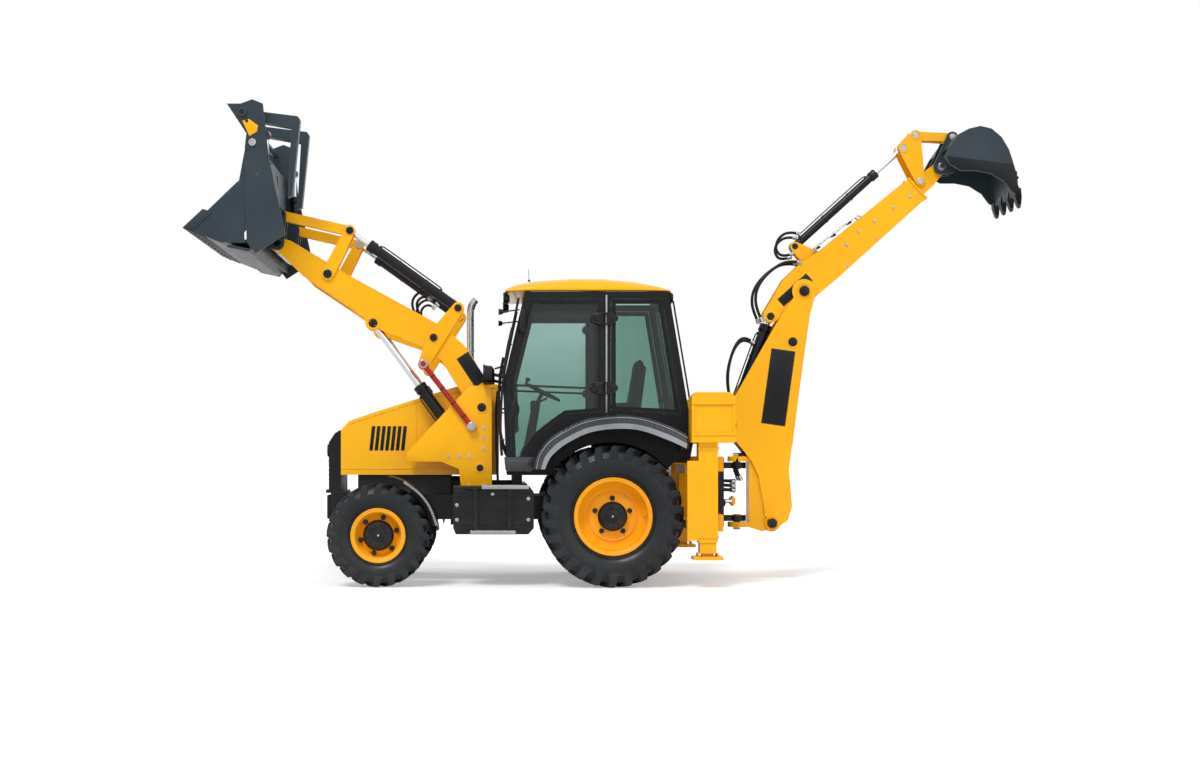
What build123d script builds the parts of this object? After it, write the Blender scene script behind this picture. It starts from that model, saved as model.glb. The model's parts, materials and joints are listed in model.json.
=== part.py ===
"""Backhoe loader: loading arms raised at the front, upright digging arm at the rear.

Millimetres. The rear axle stands at x = 0 while the pieces are made, the front points to -X, the machine's
left side to -Y and the ground is z = 0. Every piece is moved by the same distance at the end, so that the
origin lies on the ground under the middle of the machine's length.
"""
from build123d import *
import os
from math import atan2, cos, degrees, hypot, radians, sin

# ---- driving sizes -----------------------------------------------------------------------------------------
wheel_base = 2228
running_gap = 0.3            # between a pin and its bore, or two flat faces that slide
side_gap = 6                 # between pieces that pass each other

rear_tyre_radius = 672
rear_tyre_width = 440
rear_rim_radius = 372
rear_track = 930             # half of it, to the tyre's middle
front_tyre_radius = 490
front_tyre_width = 330
front_rim_radius = 262
front_track = 905
lug_height = 34

arm_inner = 500              # |y| of the loader arm's two faces
arm_outer = 600
ear_plate = 18               # thickness of the levers' and ears' plates
ear_gap = 4                  # from the arm's face to a lever's plate

boom_inner = 118             # |y| of the boom's side plates
boom_plate = 20
ram_eye = 38                 # half width of the digging rams' eyes

cab_half_width = 755
cab_wall = 45
bucket_half_width = 1175

# ---- pin centres (x, z) ------------------------------------------------------------------------------------
arm_pivot = (-1246, 1717)
lift_ram_base = (-1263, 1128)
lift_rod_pin = (-2306, 2540)
lever_pivot_rear = (-1715, 2397)
tilt_ram_base = (-1478, 2685)
level_link_top = (-1814, 2137)
level_link_base = (-1344, 1530)
lever_pivot_front = (-2747, 3017)
tilt_rod_pin = (-2531, 3439)
bucket_link_front = (-3208, 3593)
bucket_pivot_front = (-3232, 3313)
clam_pivot = (-3398, 4195)
fork_shaft = (-3493, 4481)

swing_x = 1322
boom_pivot = (1657, 572)
boom_ram_base = (1556, 1086)
boom_rod_pin = (1864, 2387)
dipper_ram_base = (1255, 1556)
dipper_pivot = (1979, 2897)
dipper_rod_pin = (1648, 2645)
bucket_ram_base = (1900, 3355)
tipping_pivot = (3149, 4006)
tipping_rod_pin = (2983, 4337)
tipping_link_pin = (3104, 4467)
dig_bucket_pivot = (3365, 4149)
dig_bucket_link = (3476, 4448)


# ---- helpers -----------------------------------------------------------------------------------------------
def slab(outline, low, high, holes=()):
    """A plate whose outline lies in XZ, from y = low to y = high; holes are (x, z, radius)."""
    with BuildPart() as piece:
        with BuildSketch(Plane.XZ.offset(-high)):
            with BuildLine():
                Polyline(*outline, close=True)
            make_face()
            for x, z, radius in holes:
                with Locations((x, z)):
                    Circle(radius, mode=Mode.SUBTRACT)
        extrude(amount=high - low)
    return piece.part


def hull_plate(discs, low, high, holes=()):
    """A plate wrapped round discs (x, z, radius), from y = low to y = high."""
    with BuildPart() as piece:
        with BuildSketch(Plane.XZ.offset(-high)) as face:
            for x, z, radius in discs:
                with Locations((x, z)):
                    Circle(radius)
            make_hull()
            for x, z, radius in holes:
                with Locations((x, z)):
                    Circle(radius, mode=Mode.SUBTRACT)
        extrude(amount=high - low)
    return piece.part


def disc(centre, radius, low, high, bore=0):
    """A round boss or pin along Y."""
    with BuildPart() as piece:
        with BuildSketch(Plane.XZ.offset(-high)):
            with Locations(centre):
                Circle(radius)
                if bore:
                    Circle(bore, mode=Mode.SUBTRACT)
        extrude(amount=high - low)
    return piece.part


def bar(start, end, radius, bore=0):
    """A round bar or tube between two points in space."""
    run = Vector(*end) - Vector(*start)
    with BuildPart() as piece:
        with BuildSketch(Plane(origin=start, z_dir=run)):
            Circle(radius)
            if bore:
                Circle(bore, mode=Mode.SUBTRACT)
        extrude(amount=run.length)
    return piece.part


def block(low, high):
    """A box from its lowest to its highest corner."""
    size = [b - a for a, b in zip(low, high)]
    middle = tuple((a + b) / 2 for a, b in zip(low, high))
    with BuildPart() as piece:
        with Locations(middle):
            Box(*size)
    return piece.part


def along(start, end, distance, offset=0):
    """The point that lies a distance along the line from start to end, and an offset to its left."""
    angle = atan2(end[1] - start[1], end[0] - start[0])
    return (start[0] + distance * cos(angle) - offset * sin(angle),
            start[1] + distance * sin(angle) + offset * cos(angle))


def span(start, end):
    return hypot(end[0] - start[0], end[1] - start[1])


def both_sides(pieces):
    """The pieces and their mirror images in the machine's middle plane."""
    with BuildPart() as pair:
        for piece in pieces:
            add(piece)
        mirror(about=Plane.XZ)
    return pair.part


def ram(base, eye, y, half_eye, pin_radius, barrel_radius, rod_radius, draws_in, draws_out):
    """The barrel and the rod of a cylinder at one y: the barrel's eye is bored, the rod's eye is not."""
    length = span(base, eye)
    eye_radius = pin_radius + 22
    barrel_end = length - draws_in - eye_radius - 25
    rod_start = eye_radius + 45 + draws_in
    assert rod_start + draws_out + 60 < barrel_end, "the cylinder's stroke is longer than its barrel"

    def at(distance):
        x, z = along(base, eye, distance)
        return (x, y, z)
    with BuildPart() as barrel:
        add(disc(base, eye_radius, y - half_eye, y + half_eye))
        add(bar(at(eye_radius * 0.6), at(barrel_end), barrel_radius))
        add(bar(at(barrel_end - 70), at(barrel_end), barrel_radius + 8))
        add(disc(base, pin_radius + running_gap, y - barrel_radius - 9, y + barrel_radius + 9), mode=Mode.SUBTRACT)
        add(bar(at(rod_start - draws_in - 5), at(barrel_end + 1), rod_radius + running_gap), mode=Mode.SUBTRACT)
    with BuildPart() as rod:
        add(bar(at(rod_start), at(length - eye_radius * 0.6), rod_radius))
        add(disc(eye, eye_radius, y - half_eye, y + half_eye))
    return barrel.part, rod.part


pieces = {}


def keep(name, part):
    pieces[name] = part


# ---- wheels ------------------------------------------------------------------------------------------------
def tyre(radius, width, rim_radius, lugs, lug_width):
    """A tyre round the Y axis at the origin: revolved carcass and two rows of slanted lugs."""
    half = width / 2
    shoulder = radius - lug_height
    wall = rim_radius + (shoulder - rim_radius) * 0.45
    with BuildPart() as body:
        with BuildSketch(Plane.XY) as section:
            with BuildLine():
                Polyline(
                    (rim_radius, -half * 0.72),
                    (rim_radius + 25, -half * 0.84),
                    (wall, -half),
                    (shoulder - 40, -half * 0.9),
                    (shoulder, -half * 0.72),
                    (shoulder, half * 0.72),
                    (shoulder - 40, half * 0.9),
                    (wall, half),
                    (rim_radius + 25, half * 0.84),
                    (rim_radius, half * 0.72),
                    close=True,
                )
            make_face()
        revolve(axis=Axis.Y)
    with BuildPart() as lug:
        for hand in (-1, 1):
            with BuildSketch(Plane.YZ.offset(shoulder - 28)):
                with BuildLine():
                    Polyline(
                        (hand * half * 0.97, -lug_width * 1.5),
                        (hand * half * 0.97, -lug_width * 0.3),
                        (hand * -half * 0.06, lug_width * 1.5),
                        (hand * -half * 0.06, lug_width * 0.75),
                        close=True,
                    )
                make_face()
            extrude(amount=lug_height + 28, taper=4)
    with BuildPart() as whole:
        add(body.part)
        turned = []
        for index in range(lugs):
            turned.append(lug.part.rotate(Axis.Y, index * 360 / lugs))
        add(turned)
        with BuildSketch(Plane.XZ.offset(-half - 5)):
            Circle(rim_radius)
        extrude(amount=width + 10, mode=Mode.SUBTRACT)
    return whole.part


def rim(rim_radius, tyre_width, hub_radius, dish):
    """A rim with its disc and hub round the Y axis, the outer face towards -Y."""
    half = tyre_width / 2 * 0.72
    lip = rim_radius - running_gap
    with BuildPart() as body:
        with BuildSketch(Plane.XY):
            with BuildLine():
                Polyline(
                    (0, -dish - 60),
                    (hub_radius - 25, -dish - 60),
                    (hub_radius, -dish - 35),
                    (hub_radius, -dish),
                    (rim_radius * 0.72, -dish + 22),
                    (rim_radius * 0.86, -half * 0.5),
                    (rim_radius - 42, -half),
                    (rim_radius - 22, -half - 12),
                    (lip, -half - 12),
                    (lip, half + 12),
                    (lip - 22, half + 12),
                    (lip - 42, half),
                    (rim_radius * 0.84, -half * 0.25),
                    (rim_radius * 0.7, -dish + 44),
                    (hub_radius, -dish + 24),
                    (0, -dish + 24),
                    close=True,
                )
            make_face()
        revolve(axis=Axis.Y)
    return body.part


wheels = [
    # name, x, tyre radius, tyre width, rim radius, hub radius, disc offset, half track, lugs, lug width
    ("rear", 0, rear_tyre_radius, rear_tyre_width, rear_rim_radius, 138, 40, rear_track, 20, 46),
    ("front", -wheel_base, front_tyre_radius, front_tyre_width, front_rim_radius, 145, 30, front_track, 16, 36),
]
for name, x, radius, width, rim_radius, hub, dish, track, lugs, lug_width in wheels:
    rubber = tyre(radius, width, rim_radius, lugs, lug_width)
    steel = rim(rim_radius, width, hub, dish)
    for side, hand in (("left", -1), ("right", 1)):
        turn = 0 if hand < 0 else 180
        place = Location((x, hand * track, radius), (0, 0, turn))
        keep(f"{name}_{side}_tyre", rubber.moved(place))
        keep(f"{name}_{side}_rim", steel.moved(place))

# ---- chassis, axles and engine -------------------------------------------------------------------------------
rail_inner = 300
rail_outer = 380
rail_low = 620
rail_high = 860
nose_x = -2700
rear_rail_end = 640
tower_inner = arm_inner - 34
tower_outer = arm_outer + 34
tower_plate = 14
arm_pin_radius = 38
lift_pin_radius = 30
kingpin_y = 690
link_pin_radius = 24
arm_wall = 14
hinge_pin_radius = 12
axle_tube_radius = 95
step_inner = 640
cab_floor_z = 1060
hood_hinge = (-1062, 1925)
kingpin_radius = 24
knuckle_half_height = 95
fork_plate = 22
front_x = -wheel_base
front_z = front_tyre_radius
hub_face_front = front_track + 30 - 24
hub_face_rear = rear_track + 40 - 24

tower_outline = [
    (-1970, 1190), (-1970, 1280), (-1365, 1926), (-1190, 1926), (-1150, 1880),
    (-1150, 800), (-1430, 800), (-1470, 1120), (-1640, 1190),
]
with BuildPart() as chassis_frame:
    for hand in (-1, 1):
        low_y, high_y = sorted((hand * rail_inner, hand * rail_outer))
        add(block((nose_x, low_y, rail_low), (rear_rail_end, high_y, rail_high)))
        for inner in (tower_inner, tower_outer - tower_plate):
            low_y, high_y = sorted((hand * inner, hand * (inner + tower_plate)))
            add(slab(tower_outline, low_y, high_y))
        low_y, high_y = sorted((hand * rail_outer, hand * tower_outer))
        add(block((-1425, low_y, 800), (-1155, high_y, 850)))
        low_y, high_y = sorted((hand * tower_inner, hand * tower_outer))
        add(disc(arm_pivot, arm_pin_radius, low_y - 10, high_y + 10))
        add(disc(lift_ram_base, lift_pin_radius, low_y - 10, high_y + 10))
        low_y, high_y = sorted((hand * rail_outer, hand * (step_inner - running_gap)))
        add(block((-1300, low_y, 640), (-1180, high_y, 700)))
        low_y, high_y = sorted((hand * rail_inner, hand * rail_outer))
        for x in (-900, 380):
            add(block((x - 50, low_y, rail_high), (x + 50, high_y, cab_floor_z - running_gap)))
    add(block((nose_x - 40, -rail_outer, 590), (nose_x + 90, rail_outer, 900)))
    for x in (front_x - 150, front_x + 110):
        add(block((x, -rail_inner, 600), (x + 40, rail_inner, 700)))
        add(block((x, -90, 400), (x + 40, 90, 600)))
    for x in (-900, 560):
        add(block((x, -rail_inner, 730), (x + 80, rail_inner, 820)))
    add(disc((0, rear_tyre_radius), axle_tube_radius + running_gap, -rail_outer - 1, rail_outer + 1),
        mode=Mode.SUBTRACT)
    for low_y in (-tower_outer - 1, tower_outer - tower_plate - 1):
        add(disc(level_link_base, link_pin_radius + running_gap, low_y, low_y + tower_plate + 2), mode=Mode.SUBTRACT)
keep("chassis_frame", chassis_frame.part)

with BuildPart() as axles:
    add(bar((front_x, -600, front_z), (front_x, 600, front_z), 72))
    add(bar((front_x - 109.7, 0, front_z), (front_x + 109.7, 0, front_z), 110))
    add(bar((front_x, -170, front_z), (front_x, 170, front_z), 108))
    for hand in (-1, 1):
        low_y, high_y = sorted((hand * 560, hand * 618))
        add(block((front_x - 62, low_y, front_z - 118), (front_x + 62, high_y, front_z + 118)))
        low_y, high_y = sorted((hand * 600, hand * (kingpin_y + 40)))
        for sign in (-1, 1):
            z = front_z + sign * (knuckle_half_height + running_gap + fork_plate / 2)
            add(block((front_x - 50, low_y, z - fork_plate / 2), (front_x + 50, high_y, z + fork_plate / 2)))
            with Locations((front_x, hand * kingpin_y, z)):
                Cylinder(kingpin_radius + running_gap, fork_plate + 2, mode=Mode.SUBTRACT)
        add(bar((0, hand * 150, rear_tyre_radius), (0, hand * 760, rear_tyre_radius), axle_tube_radius))
        add(bar((0, hand * 700, rear_tyre_radius), (0, hand * (hub_face_rear - running_gap), rear_tyre_radius), 125))
    add(bar((0, -210, rear_tyre_radius), (0, 210, rear_tyre_radius), 185))
keep("axles", axles.part)

mudguard_radius = 566
mudguard_notch_y = 762        # the guard's inner edge stays clear of the lowered lift ram from here outwards
for side, hand in (("left", -1), ("right", 1)):
    inner = hand * (front_track - front_tyre_width / 2 - 24)
    outer = hand * (front_track + front_tyre_width / 2 + 5)
    with BuildPart() as knuckle:
        low_y, high_y = sorted((hand * 645, hand * (kingpin_y + 36)))
        add(block((front_x - 48, low_y, front_z - knuckle_half_height), (front_x + 48, high_y, front_z + knuckle_half_height)))
        add(bar((front_x, hand * kingpin_y, front_z), (front_x, hand * (hub_face_front - running_gap), front_z), 80))
        with Locations((front_x, hand * kingpin_y, front_z)):
            Cylinder(kingpin_radius, 2 * (knuckle_half_height + fork_plate))
        low_y, high_y = sorted((inner, hand * (kingpin_y + 30)))
        add(slab([(front_x + 20, front_z + 15), (front_x + 20, front_z - 60), (front_x + 560, front_z + 110),
                  (front_x + 330, front_z + 462)], low_y, high_y))
        low_y, high_y = sorted((inner, outer))
        with BuildSketch(Plane.XZ.offset(-high_y)):
            with Locations((front_x, front_z)):
                Circle(mudguard_radius + 10)
                Circle(mudguard_radius - 2, mode=Mode.SUBTRACT)
            with BuildLine():
                Polyline(
                    (front_x, front_z),
                    (front_x + 900, front_z + 80),
                    (front_x + 900, front_z + 900),
                    (front_x + 150, front_z + 900),
                    close=True,
                )
            make_face(mode=Mode.INTERSECT)
        extrude(amount=high_y - low_y)
        low_y, high_y = sorted((hand * 700, hand * mudguard_notch_y))
        add(block((front_x + 60, low_y, front_z + 455), (front_x + 318, high_y, front_z + 620)), mode=Mode.SUBTRACT)
    keep(f"knuckle_{side}", knuckle.part)

stack_y = 420
with BuildPart() as engine_block:
    add(block((-2480, -270, 700), (-1560, 270, 1330)))
    add(block((-1561, -210, 560), (-950, 210, 1000)))
    add(block((-2440, -230, 740), (-1600, 230, 1290)), mode=Mode.SUBTRACT)
    add(block((-1530, -180, 590), (-980, 180, 970)), mode=Mode.SUBTRACT)
    add(bar((-950, 0, 650), (-200, 0, 672), 45))
    fillet(engine_block.edges().filter_by(Axis.Y).group_by(Axis.Z)[-1], 40)
    add(bar((-1700, 240, 1010), (-1373, stack_y, 1010), 30))
    add(bar((-1373, stack_y, 990), (-1373, stack_y, 2760), 34))
    add(bar((-1373, stack_y, 2745), (-1335, stack_y, 2850), 34))
    add(bar((-1373, stack_y, 1300), (-1373, stack_y, 1700), 38))
keep("engine_and_stack", engine_block.part)

# ---- hood, nose, fenders and steps ---------------------------------------------------------------------------
hood_half_width = 372
hood_profile = [(-2640, 1060), (-2640, 1500), (-2560, 1590), (-2300, 1680), (-1500, 1930), (-1080, 1955), (-1080, 1060)]
with BuildPart() as hood:
    add(slab(hood_profile, -hood_half_width, hood_half_width))
    fillet(hood.edges().filter_by(Axis.Y).group_by(Axis.Z)[-1], 30)
    add(slab([(x + (26 if x < -2000 else -2), z - 26) for x, z in hood_profile if z > 1100]
             + [(-1060, 1040), (-2614, 1040)], -hood_half_width + 26, hood_half_width - 26), mode=Mode.SUBTRACT)
    for low_y in (-335, 305):
        add(hull_plate([(*hood_hinge, 20), (-1110, 1932, 18)], low_y, low_y + 30,
                       [(*hood_hinge, hinge_pin_radius + running_gap)]))
keep("hood", hood.part)

grille_low = 900 + running_gap
grille_back = -2640 - running_gap
with BuildPart() as nose_grille:
    add(slab([(-2760, grille_low), (-2760, 1380), (-2700, 1470), (-2652, 1500), (grille_back, 1500),
              (grille_back, grille_low)], -370, 370))
    with BuildSketch(Plane.YZ.offset(-2770)) as slots:
        with GridLocations(0, 52, 1, 8):
            with Locations((0, 1130)):
                Rectangle(620, 26)
    extrude(amount=70, mode=Mode.SUBTRACT)
keep("nose_grille", nose_grille.part)

fender_outline = [(-740, 1120), (-700, 1250), (-600, 1375), (-478, 1450), (-271, 1560), (0, 1600), (246, 1590),
                  (520, 1500), (700, 1405), (700, 1310)]
fender_inner = [(670, 1310), (500, 1390), (240, 1478), (0, 1490), (-240, 1455), (-430, 1360), (-560, 1260),
                (-640, 1120)]
with BuildPart() as fender_side:
    add(slab(fender_outline + fender_inner, -1155, -cab_half_width - running_gap))
    add(slab([(x * 0.97, z - 60) for x, z in fender_outline] + [(x * 0.97, z - 1) for x, z in fender_inner],
             -1100, -cab_half_width - 40), mode=Mode.SUBTRACT)
keep("rear_fenders", both_sides([fender_side.part]))

step_front = front_x + mudguard_radius + 147
with BuildPart() as step_side:
    step_outline = [(step_front, 560), (step_front + 25, 500), (-800, 500), (-748, 560), (-748, 900), (-790, 960),
                    (step_front, 960)]
    add(slab(step_outline, -1000, -step_inner))
    fillet(step_side.edges().filter_by(Axis.X), 18)
    add(block((step_front + 20, -985, 520), (-770, -step_inner - 12, 945)), mode=Mode.SUBTRACT)
    add(block((step_front + 135, -1075, 505), (-900, -995, 530)))
    add(block((step_front + 115, -1075, 935), (-880, -995, 960)))
    for x in (step_front + 215, -980):
        add(block((x - 14, -1070, 515), (x + 14, -1046, 950)))
keep("step_boxes", both_sides([step_side.part]))

# ---- cab -------------------------------------------------------------------------------------------------------
cab_inner = cab_half_width - cab_wall
cab_side_outline = [(-1000, cab_floor_z), (-1035, 1960), (-830, 2830), (560, 2830), (800, 1400), (760, cab_floor_z + 120),
                    (600, cab_floor_z + 120), (500, cab_floor_z)]
door_outline = [(-958, 1150), (-990, 1962), (-790, 2765), (-78, 2765), (-78, 1665), (-430, 1640), (-560, 1545),
                (-700, 1430), (-790, 1310), (-850, 1150)]
quarter_outline = [(0, 1680), (0, 2765), (498, 2765), (680, 1640), (500, 1655)]


def scaled(outline, inset):
    """The outline moved inwards by a distance, worked out from its own edges."""
    with BuildSketch() as face:
        with BuildLine():
            Polyline(*outline, close=True)
        make_face()
        offset(amount=-inset, kind=Kind.INTERSECTION)
    corners = face.sketch.faces()[0].outer_wire().order_edges()
    return [(edge.position_at(0).X, edge.position_at(0).Y) for edge in corners]


arch_radius = rear_tyre_radius + 34
floor_half_width = cab_inner - 20
arch_lining = []
for index in range(25):
    angle = radians(146 - index * 4.5)
    arch_lining.append(((arch_radius + 16) * cos(angle), rear_tyre_radius + (arch_radius + 16) * sin(angle)))
for index in range(25):
    angle = radians(38 + index * 4.5)
    arch_lining.append((arch_radius * cos(angle), rear_tyre_radius + arch_radius * sin(angle)))
with BuildPart() as cab_side:
    add(slab(cab_side_outline, -cab_half_width, -cab_inner))
    add(slab(door_outline, -cab_half_width - 1, -cab_inner + 1), mode=Mode.SUBTRACT)
    add(slab(quarter_outline, -cab_half_width - 1, -cab_inner + 1), mode=Mode.SUBTRACT)
    add(disc((0, rear_tyre_radius), arch_radius, -cab_half_width - 1, -cab_inner + 1), mode=Mode.SUBTRACT)
with BuildPart() as cab_frame:
    add(both_sides([cab_side.part]))
    add(block((-1000, -cab_inner, cab_floor_z), (-620, cab_inner, cab_floor_z + 50)))
    add(block((-621, -floor_half_width, cab_floor_z), (500, floor_half_width, cab_floor_z + 50)))
    for low_y, high_y in ((-cab_inner - 1, -floor_half_width), (floor_half_width, cab_inner + 1)):
        add(slab(arch_lining, low_y, high_y))
    add(slab([(-1000, cab_floor_z), (-1035, 1960), (-990, 1960), (-955, cab_floor_z)], -cab_inner, cab_inner))
    add(slab([(-840, 2770), (-830, 2830), (-770, 2830), (-780, 2770)], -cab_inner, cab_inner))
    add(slab([(500, 2760), (500, 2830), (560, 2830), (572, 2760)], -cab_inner, cab_inner))
    add(slab([(500, cab_floor_z), (600, 1180), (760, 1180), (800, 1400), (760, 1400), (725, 1225), (580, 1225),
              (470, 1105)], -cab_inner, cab_inner))
    add(slab([(430, 1090), (430, 1500), (765, 1500), (776, 1440), (480, 1440), (480, 1090)], -cab_inner, cab_inner))
    for hand in (-1, 1):
        low_y, high_y = sorted((hand * (cab_half_width - 5), hand * (cab_half_width + 28)))
        for z in (1900, 2570):
            for low_z in (z - 45 - running_gap - 12, z + 45 + running_gap):
                add(block((-80, low_y, low_z), (-30, high_y, low_z + 12)))
        low_y, high_y = sorted((hand * 276, hand * 299))
        add(hull_plate([(*hood_hinge, hinge_pin_radius + 1), (-1030, 1925, hinge_pin_radius + 1)], low_y, high_y))
        low_y, high_y = sorted((hand * 290, hand * 340))
        add(disc(hood_hinge, hinge_pin_radius, low_y, high_y))
keep("cab_frame", cab_frame.part)

with BuildPart() as cab_roof:
    with BuildSketch(Plane.XY.offset(2830 + running_gap)):
        with Locations((-215, 0)):
            RectangleRounded(1640, 2 * 735, 110)
    extrude(amount=190, taper=14)
    add(block((-960, -650, 2820), (530, 650, 2985)), mode=Mode.SUBTRACT)
    for x in (-1000, 580):
        for y in (-560, -420, 330, 470):
            add(block((x, y, 2775), (x + 60, y + 90, 2835)))
keep("cab_roof", cab_roof.part)

glass = 8
pane_half = cab_inner - running_gap
pane = scaled(quarter_outline, running_gap)
with BuildPart() as cab_glass:
    add(both_sides([slab(pane, -cab_half_width + 10, -cab_half_width + 10 + glass)]))
    add(slab([(-1025, 1962), (-842, 2769), (-834, 2769), (-1017, 1962)], -pane_half, pane_half))
    add(slab([(570, 2759), (766, 1501), (758, 1501), (562, 2759)], -pane_half, pane_half))
keep("cab_glass", cab_glass.part)

door_frame = scaled(door_outline, 6)
door_window = scaled(door_outline, 46)
for side, hand in (("left", -1), ("right", 1)):
    low_y, high_y = sorted((hand * (cab_half_width - 38), hand * cab_half_width))
    with BuildPart() as door:
        add(slab(door_frame, low_y, high_y))
        add(slab(door_window, low_y - 1, high_y + 1), mode=Mode.SUBTRACT)
        for z in (1900, 2570):
            add(bar((-78, hand * (cab_half_width + 14), z - 45), (-78, hand * (cab_half_width + 14), z + 45), 13))
            low_hinge, high_hinge = sorted((hand * (cab_half_width - 2), hand * (cab_half_width + 24)))
            add(block((-190, low_hinge, z - 40), (-84, high_hinge, z + 40)))
        low_handle, high_handle = sorted((hand * (cab_half_width - 2), hand * (cab_half_width + 40)))
        add(block((-960, low_handle, 1860), (-935, high_handle, 2060)))
    keep(f"door_{side}", door.part)
    low_y, high_y = sorted((hand * (cab_half_width - 24), hand * (cab_half_width - 24 + glass)))
    keep(f"door_{side}_glass", slab(scaled(door_outline, 46.5), low_y, high_y))

with BuildPart() as seat:
    add(block((-230, -250, 1500), (280, 250, 1610)))
    add(slab([(190, 1620), (300, 1620), (380, 2200), (300, 2230)], -240, 240))
    fillet(seat.edges().filter_by(Axis.Y), 25)
    add(bar((30, 0, cab_floor_z + 50 + running_gap), (30, 0, 1510), 90))
    for hand in (-1, 1):
        low_y, high_y = sorted((hand * 262, hand * 320))
        add(block((-120, low_y, 1730), (270, high_y, 1770)))
        low_y, high_y = sorted((hand * 240, hand * 262.5))
        add(block((200, low_y, 1560), (250, high_y, 1765)))

with BuildPart() as cab_controls:
    add(block((-870, -70, cab_floor_z + 50 + running_gap), (-770, 70, 1150)))
    add(bar((-815, 0, 1140), (-700, 0, 1780), 45))
    add(bar((-700, 0, 1760), (-640, 0, 1880), 24))
    with BuildSketch(Plane(origin=(-640, 0, 1880), z_dir=(60, 0, 120))):
        Circle(200)
        Circle(176, mode=Mode.SUBTRACT)
    extrude(amount=22)
    with BuildSketch(Plane(origin=(-640, 0, 1880), z_dir=(60, 0, 120))):
        Rectangle(30, 380)
        Circle(50)
    extrude(amount=16)
    add(block((480 + running_gap, -420, 1500 + running_gap), (690, 420, 1560)))
    for y in (-130, -60, 60, 130):
        add(bar((600, y, 1550), (560, y, 1780), 9))
        with Locations((558, y, 1790)):
            Sphere(20)
keep("cab_fittings", Part(children=[seat.part, cab_controls.part]))

# ---- loader ----------------------------------------------------------------------------------------------------
arm_middle = (arm_inner + arm_outer) / 2
ear_inner_face = arm_inner - ear_gap
ear_outer_face = arm_outer + ear_gap
lever_pin_radius = 30

arm_outline = [
    (-3240, 3375), (-3113, 3345), (-2470, 2966), (-1682, 2535), (-1575, 2465), (-1409, 2315), (-1305, 2160),
    (-1215, 1960), (-1150, 1760), (-1200, 1630), (-1320, 1650), (-1468, 1900), (-1640, 2175), (-1790, 2310),
    (-2230, 2470), (-2380, 2590), (-2996, 3005), (-3230, 3240),
]
with BuildPart() as arm_left:
    add(slab(arm_outline, -arm_outer, -arm_inner))
    add(slab(scaled(arm_outline, arm_wall), -arm_outer + arm_wall, -arm_inner - arm_wall), mode=Mode.SUBTRACT)
    bosses = ((arm_pivot, 108), (lever_pivot_rear, 84), (lever_pivot_front, 72), (bucket_pivot_front, 76), (lift_rod_pin, 74))
    for centre, radius in bosses:
        add(disc(centre, radius, -arm_outer, -arm_inner))
    for centre, radius in ((arm_pivot, arm_pin_radius), (lever_pivot_rear, lever_pin_radius),
                           (lever_pivot_front, lever_pin_radius), (bucket_pivot_front, lever_pin_radius)):
        add(disc(centre, radius + running_gap, -arm_outer - 1, -arm_inner + 1), mode=Mode.SUBTRACT)
    slot = hull_plate([(*lift_rod_pin, 84), (*along(lift_rod_pin, lift_ram_base, 260), 84)], -arm_outer + 14, -arm_inner - 14)
    add(slot, mode=Mode.SUBTRACT)
    slot_low = hull_plate([(*lift_rod_pin, 84), (lift_rod_pin[0] + 240, lift_rod_pin[1] - 220, 84)],
                          -arm_outer + 14, -arm_inner - 14)
    add(slot_low, mode=Mode.SUBTRACT)
cross_tube = (-2960, 3123)
with BuildPart() as loader_arms:
    add(both_sides([arm_left.part]))
    add(bar((cross_tube[0], -arm_inner, cross_tube[1]), (cross_tube[0], arm_inner, cross_tube[1]), 72))
keep("loader_arms", loader_arms.part)


def paired(plates):
    """Plates (discs, bores) on both faces of the loader arm, on both sides of the machine."""
    made = []
    for discs, holes in plates:
        made.append(hull_plate(discs, -ear_outer_face - ear_plate, -ear_outer_face, holes))
        made.append(hull_plate(discs, -ear_inner_face, -ear_inner_face + ear_plate, holes))
    return made


levelling = paired([([(*tilt_ram_base, 58), (*lever_pivot_rear, 66), (*level_link_top, 52)], [])])
levelling += [
    disc(lever_pivot_rear, lever_pin_radius, -ear_outer_face - ear_plate - 12, -ear_inner_face + ear_plate + 12),
    disc(tilt_ram_base, lever_pin_radius, -ear_outer_face - ear_plate - 12, -ear_inner_face + ear_plate + 12),
    disc(level_link_top, 40, -ear_outer_face - ear_plate - 12, -ear_outer_face - ear_plate),
]
keep("levelling_levers", both_sides(levelling))

link_inner = tower_outer + 12
link_tube_radius = 26
link_middle = link_inner + link_tube_radius
with BuildPart() as level_link:
    for centre in (level_link_top, level_link_base):
        add(disc(centre, 46, -link_middle - link_tube_radius, -link_inner))
    start = along(level_link_top, level_link_base, 30)
    end = along(level_link_base, level_link_top, 30)
    add(bar((start[0], -link_middle, start[1]), (end[0], -link_middle, end[1]), link_tube_radius))
    add(disc(level_link_base, link_pin_radius, -link_middle - link_tube_radius - 12, -tower_outer + tower_plate + 8))
keep("levelling_links", both_sides([level_link.part]))

lift_barrel, lift_rod = ram(lift_ram_base, lift_rod_pin, -arm_middle, 26, lift_pin_radius, 56, 32, 675, 5)
keep("lift_ram_barrels", both_sides([lift_barrel]))
keep("lift_ram_rods", both_sides([lift_rod]))

tilt_barrel, tilt_rod = ram(tilt_ram_base, tilt_rod_pin, -arm_middle, 20, lever_pin_radius, 50, 26, 150, 270)
keep("tilt_ram_barrels", both_sides([tilt_barrel]))
keep("tilt_ram_rods", both_sides([tilt_rod]))

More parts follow.
